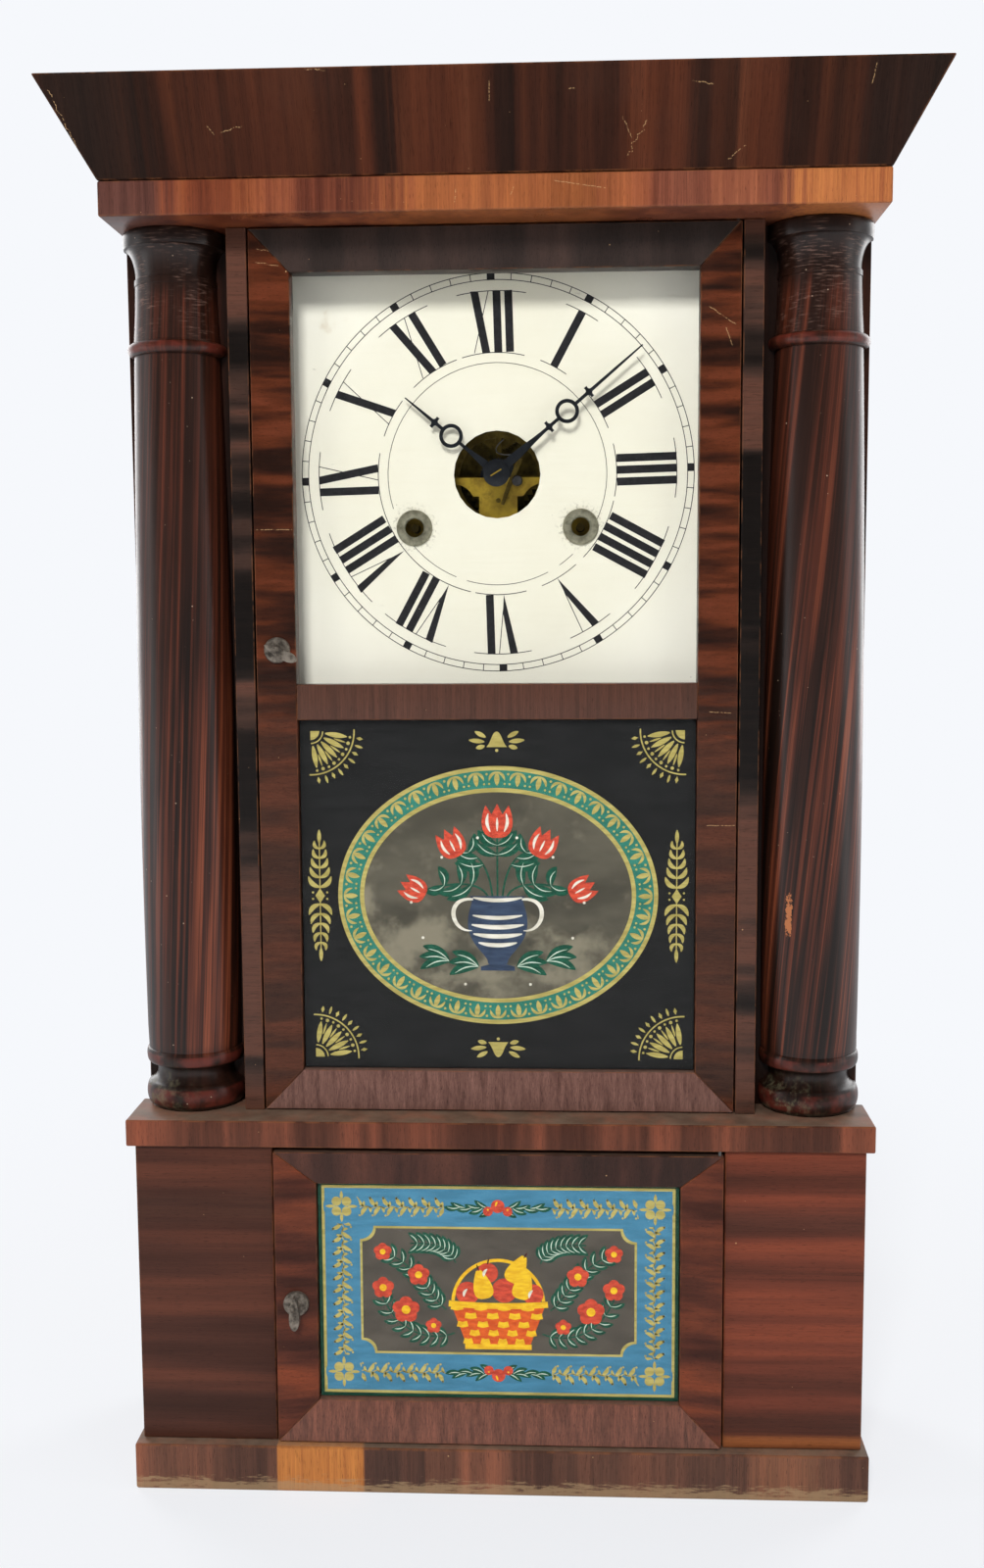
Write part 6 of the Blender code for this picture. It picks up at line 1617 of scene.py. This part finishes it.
@dataclass
class Dial:
    """Painted dial: numerals, their fine lines, the minute track and the winding grommets."""

    lean: float = -1.6
    inner: float = 0.0730
    outer: float = 0.1095
    stroke: float = 0.0048
    gap: float = 0.0023
    hair: float = 0.00050
    track_in: float = 0.1160
    track_out: float = 0.1200
    chapter: float = 0.0670
    spread: float = 0.051
    drop: float = 0.032
    block: float = 0.0024
    coat: float = 0.00001
    lip: float = 0.0011

    def sheet(self, name: str, shapes: Iterable[Shape], finish: Finish, lift: float = FILM) -> None:
        """Lay paint on the dial's face."""
        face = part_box("dial_panel")[0].y - self.coat
        stock = Stock()
        for shape in shapes:
            stock.plate([shift(turn(loop, self.lean), *CENTRE) for loop in shape], face - lift, face)
        stock.fit(name, "case", finish)

    def build(self, row: Row) -> None:
        """Paint the dial and set its grommets."""
        holes = tuple((side * self.spread, CENTRE[1] - self.drop) for side in (-1, 1))
        dress("dial_panel", DialPaint("dial_cream", holes))
        bold, fine = [], []
        for hour, word in enumerate("XII I II III IIII V VI VII VIII IX X XI".split()):
            for shapes, loops in zip((bold, fine), self.numeral(word)):
                shapes += [[turn(loop, 30 * hour)] for loop in loops]
        self.sheet("dial_numerals", bold, NUMERAL_INK, FILM + self.coat)
        self.sheet("dial_numeral_lines", fine, NUMERAL_INK)
        self.build_track(row)
        self.build_grommets()

    def numeral(self, word: str) -> tuple[list[Loop], list[Loop]]:
        """Give a numeral's bold and fine strokes, upright at the top of the dial."""
        s, low, high = self.stroke, self.inner, self.outer
        widths = {"I": s, "V": 0.0117, "X": 0.0112}
        total = sum(widths[c] for c in word) + self.gap * (len(word) - 1)
        x = -total / 2
        bold: list[Loop] = []
        fine: list[Loop] = []
        for letter in word:
            foot = {"I": [(x, low), (x + s, low)], "V": [(x + 0.0077, low), (x + 0.0086, low + 0.0110)],
                    "X": [(x + 0.0062, low), (x + 0.0062 + s, low)]}[letter]
            bold.append([*foot, (x + s, high), (x, high)])
            hairline = {"V": [(x + 0.0084, low + 0.0095), (x + 0.0116, high)],
                        "X": [(x + 0.0014, low), (x + 0.0109, high)]}.get(letter)
            fine += [band(hairline, self.hair / 2)] if hairline else []
            x += widths[letter] + self.gap
        for radius, beyond in ((high, 0.0085), (low, 0.0065)):
            reach = math.degrees((total / 2 + beyond) / radius)
            fine.append(band(arc(0, 0, radius, 90 - reach, 90 + reach, 16), self.hair / 2))
        return bold, fine

    def build_track(self, row: Row) -> None:
        """Build the minute track and the worn inner ring."""
        h = self.hair / 2
        rings = [[circle(0, 0, radius + h, 180), circle(0, 0, radius - h, 180)]
                 for radius in (self.track_in, self.track_out)]
        worn = [[band(arc(0, 0, self.chapter, start, end, 48), self.hair * 0.4)]
                for start, end in ((-38, 196), (214, 246), (252, 296), (303, 312))]
        self.sheet("dial_track_rings", rings, NUMERAL_INK)
        self.sheet("dial_inner_ring", worn, FINE_INK)
        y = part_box("dial_panel")[0].y - 4 * self.coat
        around, tall = (self.track_in + self.track_out) / 2, (self.track_out - self.track_in) / 2
        path = shift(turn(circle(0, 0, around, 360), self.lean - 90), *CENTRE)
        tick = Stock().plate([centred(h, tall)], 0.0, FILM)
        row.lay("dial_minute_ticks", "case", NUMERAL_INK, tick, path, y, 60)
        w = self.block
        shape = [[(-w, -tall), (w * 0.96, -tall), (w, tall), (-w, tall * 0.98)]]
        block = Stock().plate(shape, -self.coat, FILM)
        row.lay("dial_five_minute_blocks", "case", NUMERAL_INK, block, path, y, 12)

    def build_grommets(self) -> None:
        """Turn the two winding grommets."""
        for node in ("strike_grommet", "time_grommet"):
            front, back = (corner.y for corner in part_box(node))
            profile = [(back, 0.0057), (back, 0.0108), (back - 0.0006, 0.0110)]
            for a in [math.radians(degrees) for degrees in range(0, 181, 20)]:
                profile.append((front + self.lip * (1 - math.sin(a)), 0.0083 + 0.0025 * math.cos(a)))
            profile += [(front + 0.0016, 0.0060), (back - 0.0002, 0.0056)]
            stock = Stock().turning(profile, middle(node), 48, closed=True)
            stock.fit(node.replace("_", "_winding_"), "case", GROMMET, node)


# Hands


@dataclass
class Hand:
    """A pierced hand: waist, ring, crosses and needle, cut from sheet."""

    length: float
    degrees: float
    ring_at: float
    crosses: tuple[float, ...]
    waist_at: float
    waist: float
    front: float
    sheet: float = 0.0009
    stem: float = 0.0010
    ring: float = 0.0072
    pierced: float = 0.0050
    point: float = 0.0004

    def outline(self) -> Loop:
        """Give the hand as it points up from its boss."""
        s = self.stem
        first = min([*self.crosses, self.ring_at - self.ring]) - 0.002
        half = arc(0, 0, 0.005, -90, 62, 12)
        half += curve([half[-1], (self.waist * 1.05, self.waist_at * 0.8), (self.waist, self.waist_at),
                       (s * 1.1, (self.waist_at + first) / 2), (s, first)], 12)[1:]
        for at in sorted([*self.crosses, self.ring_at]):
            if at == self.ring_at:
                lean = math.degrees(math.asin(s / self.ring))
                half += arc(0, at, self.ring, lean - 90, 90 - lean, 24)
            else:
                arm = [(s, -0.0022), (s, -0.0006), (0.0034, -0.0008), (0.0036, -0.0011)]
                half += curve(shift(arm, 0, at), 6) + curve(shift(tip([arm])[0][::-1], 0, at), 6)
        half += [(s * 0.8, self.length * 0.82), (self.point, self.length)]
        return half + flip(half[1:])[::-1]

    def build(self) -> Stock:
        """Cut the hand at its angle."""
        loops = [self.outline(), circle(0, self.ring_at, self.pierced, 40)]
        turned = [shift(turn(loop, self.degrees), *CENTRE) for loop in loops]
        return Stock().plate(turned, self.front, self.front + self.sheet)


@dataclass
class Hands:
    """The two hands, the hub that holds them, and their pipes."""

    minute_front: float = -0.00225
    hour_front: float = 0.00175

    def build(self) -> None:
        """Build the hands over the rear part of their CAD solids."""
        y = self.minute_front
        stock = Hand(0.1156, 49.6, 0.0562, (0.0420, 0.0735), 0.018, 0.0030, y).build()
        stock.turning([(y - 0.0016, 0.0), (y - 0.0017, 0.0030), (y - 0.0014, 0.0066), (y - 0.0008, 0.0080),
                       (y - 0.0001, 0.0081), (y - 0.0001, 0.0)], CENTRE, 40)
        for degrees in (38, -52):
            slot = shift(turn(centred(0.0001, 0.0046), degrees), *CENTRE)
            stock.plate([slot], y - 0.00178, y - 0.0016)
        stock.slice("minute_hand", y + 0.0012).fit("long_hand", "minute_hand", HAND_STEEL, "minute_hand")
        stock = Hand(0.072, 309.6, 0.0359, (0.0488,), 0.010, 0.0025, self.hour_front).build()
        stock.slice("hour_hand", self.hour_front + 0.0011)
        stock.fit("short_hand", "hour_hand", HAND_STEEL, "hour_hand")
        x, z = CENTRE
        ends = [(x - 0.0035, y - 0.0020, z - 0.0018), (x + 0.0030, y - 0.0020, z + 0.0022)]
        Stock().tube(ends, 0.00045).fit("taper_pin", "minute_hand", BRASS)


# Movement


class Movement:
    """The movement, its weights, pendulum and gong, and the finish of every CAD node that is kept."""

    def build(self) -> None:
        """Finish the kept nodes, ease the cast pieces, and add what only the dial's hole shows."""
        dress("front_plate", BRASS)
        # Wheels, arbors and pulleys take the darker brass, which is partly painted shade.
        dress("back_plate minute_wheel centre_arbor third_wheel escape_wheel time_pulley strike_pulley "
              "second_wheel pin_wheel fly", TARNISH_AND_SHADE_BRASS)
        # The drums take brass that is darkened as painted shade.
        dress("time_drum strike_drum", SHADED_DRUM_BRASS)
        dress("verge pendulum_rod hammer gong_coil upper_door_top_pin upper_door_foot_pin lower_door_top_pin "
              "lower_door_foot_pin", STEEL)
        dress("time_pulley_bracket strike_pulley_bracket", IRON)
        dress("time_cord_lead strike_cord_lead time_cord_drop strike_cord_drop", CORD)
        dress("dial_glass upper_tablet lower_tablet", PANE)
        for node, name, body, finish, ease in (
                ("time_weight", "time_iron_weight", "time_weight", IRON, 0.0012),
                ("strike_weight", "strike_iron_weight", "strike_weight", IRON, 0.0012),
                ("gong_block", "gong_iron_block", "case", IRON, 0.0008),
                ("pendulum_bob", "pendulum_lens", "pendulum", BRASS, 0.0005)):
            Stock().copy(node, ease, 2, 40.0).fit(name, body, finish, node)
        self.build_lever(*CENTRE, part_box("front_plate")[0].y)

    def build_lever(self, x: float, z: float, y: float) -> None:
        """Add the count lever, its collet and its wire in front of the plate."""
        lever = band([(x + 0.0140, z + 0.0116), (x + 0.0105, z + 0.0030), (x + 0.0065, z - 0.0065),
                      (x + 0.0026, z - 0.0173)], [0.0016, 0.0015, 0.0014, 0.0010])
        # The lever takes the darker brass, which is partly painted shade.
        Stock().plate([lever], y - 0.0018, y - 0.0010).fit("count_lever", "case", TARNISH_AND_SHADE_BRASS)
        collet = [(y - 0.0030, 0.0), (y - 0.0030, 0.0028), (y - 0.0026, 0.0033), (y - 0.0002, 0.0033),
                  (y - 0.0002, 0.0)]
        wire = curve([(3.6, 22.5), (-4.0, 17.0), (-3.0, 12.0), (9.8, 13.4)], 20)
        stock = Stock().turning(collet, (x + 0.0119, z - 0.0028), 24)
        stock.tube([(x + u * MM, y - 0.0016, z + v * MM) for u, v in wire], 0.00045, 8)
        stock.fit("collet_and_wire", "case", STEEL)


# Studio


@dataclass
class Studio:
    """Camera, lamps, pale floor and white surroundings."""

    where: Spot = (0.0429, -0.98195, 0.5415)
    target: Spot = (0.0, 0.0, 0.46)
    lens: float = 36.63
    yaw: float = -0.0476
    pitch: float = -0.1075
    roll: float = -0.0059
    floor: float = 6.0
    fade: Point = (0.35, 1.1)
    glow: float = 0.68
    white: str = "f6f8fc"
    paper: str = "f2f3f5"
    daylight: Tint = (0.252, 0.256, 0.262, 1.0)
    room: Tint = (0.090, 0.094, 0.100, 1.0)

    def build(self) -> None:
        """Set up everything round the clock."""
        self.build_camera()
        self.build_world()
        self.build_floor()
        self.lamp("key", (-0.26, -2.3, 1.82), 0.5, 0.5, 54.5, False)
        self.lamp("right_fill", (1.5, -1.9, 0.75), 0.8, 1.6, 7.0, False)
        self.lamp("left_fill", (-1.5, -1.9, 0.75), 0.8, 1.6, 7.0, False)
        self.lamp("left_sheen", (-1.7, -0.35, 0.55), 0.45, 1.4, 5.0)
        self.lamp("right_sheen", (1.7, -0.35, 0.55), 0.45, 1.4, 5.0)
        self.lamp("left_rim", (-1.5, 1.5, 1.0), 0.9, 1.6, 20.0)
        self.lamp("right_rim", (1.5, 1.5, 1.0), 0.9, 1.6, 20.0)
        bpy.context.scene.view_settings.view_transform = "Standard"

    def build_camera(self) -> None:
        """Place the camera where the photograph was taken."""
        cp = math.cos(self.pitch)
        ahead = Vector((math.sin(self.yaw) * cp, math.cos(self.yaw) * cp, math.sin(self.pitch)))
        right = Vector((math.cos(self.yaw), -math.sin(self.yaw), 0.0))
        up = right.cross(ahead)
        cr, sr = math.cos(self.roll), math.sin(self.roll)
        data = bpy.data.cameras.new("camera")
        data.sensor_width = 36.0
        data.sensor_fit = "AUTO"
        data.lens = self.lens
        data.clip_start = 0.01
        camera = bpy.data.objects.new("camera", data)
        turned = Matrix((right * cr + up * sr, up * cr - right * sr, -ahead)).transposed().to_4x4()
        camera.matrix_world = Matrix.Translation(self.where) @ turned
        bpy.context.scene.collection.objects.link(camera)
        bpy.context.scene.camera = camera

    def build_world(self) -> None:
        """Make surroundings that look white, light plainly, and are dim in gloss where the room would be."""
        world = bpy.data.worlds.new("surroundings")
        bpy.context.scene.world = world
        shader = Shader(world)
        behind = shader.link("ShaderNodeTexCoord", output="Generated").axis(Axis.Y).ease(-0.35, 0.35)
        white = tint(self.white)
        seen = shader.mix(behind, self.room, white)
        level = shader.mix(shader.rays("Glossy", "Transmission"), self.daylight, seen)
        colour = shader.mix(shader.rays("Camera"), level, white)
        shader.node("ShaderNodeOutputWorld", None, (shader.link("ShaderNodeBackground", None, (colour,)),))

    def build_floor(self) -> None:
        """Lay a wide pale floor that keeps the clock's shadow and fades into the white."""
        profile = [(-0.004, 0.0), (-0.004, self.floor), (0.0, self.floor), (0.0, 0.6), (0.0, 0.0)]
        floor = Stock().turning(profile, (0.0, 0.0), 64, Axis.Z).made("studio_floor")
        shader = Shader(bpy.data.materials.new("floor_paper"))
        away = shader.place().away(0.0, 0.0, 0.0)
        pale = self.glow + away.ease(*self.fade) * (1 - self.glow)
        share = shader.rays("Camera", "Glossy", "Transmission") * pale
        paper = shader.link("ShaderNodeBsdfDiffuse", None, (tint(self.paper),))
        light = shader.link("ShaderNodeEmission", None, (tint(self.white),))
        mixed = shader.link("ShaderNodeMixShader", None, (share, paper, light))
        shader.node("ShaderNodeOutputMaterial", None, (mixed,))
        floor.data.materials.append(shader.block)

    def lamp(self, name: str, where: Spot, wide: float, tall: float, power: float,
             mirrored: bool = True) -> None:
        """Add a soft lamp that faces the clock, and is seen in its gloss or isn't."""
        data = bpy.data.lights.new(name, "AREA")
        data.shape = "RECTANGLE"
        data.size = wide
        data.size_y = tall
        data.energy = power
        lamp = bpy.data.objects.new(name, data)
        lamp.location = where
        lamp.visible_glossy = mirrored
        lamp.rotation_euler = (Vector(self.target) - Vector(where)).to_track_quat("-Z", "Y").to_euler()
        bpy.context.scene.collection.objects.link(lamp)


def main() -> None:
    """Build the looks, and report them."""
    logging.basicConfig(level=logging.INFO, format="%(message)s")
    row = Row()
    Studio().build()
    Case().build(row)
    Columns().build()
    Door("upper", STILES, RAILS, 0.1205, 0.260, 0.7405, (0.477, 0.4985)).build()
    Door("lower", LOWER_STILES, LOWER_RAILS, 0.111, 0.0566, 0.195).build()
    Catch("upper", 0.5193, 117.0).build()
    Catch("lower", 0.1195, 180.0).build()
    UpperTablet().build(row)
    LowerTablet().build(row)
    Dial().build(row)
    Hands().build()
    Movement().build()


if __name__ == "__main__":
    main()
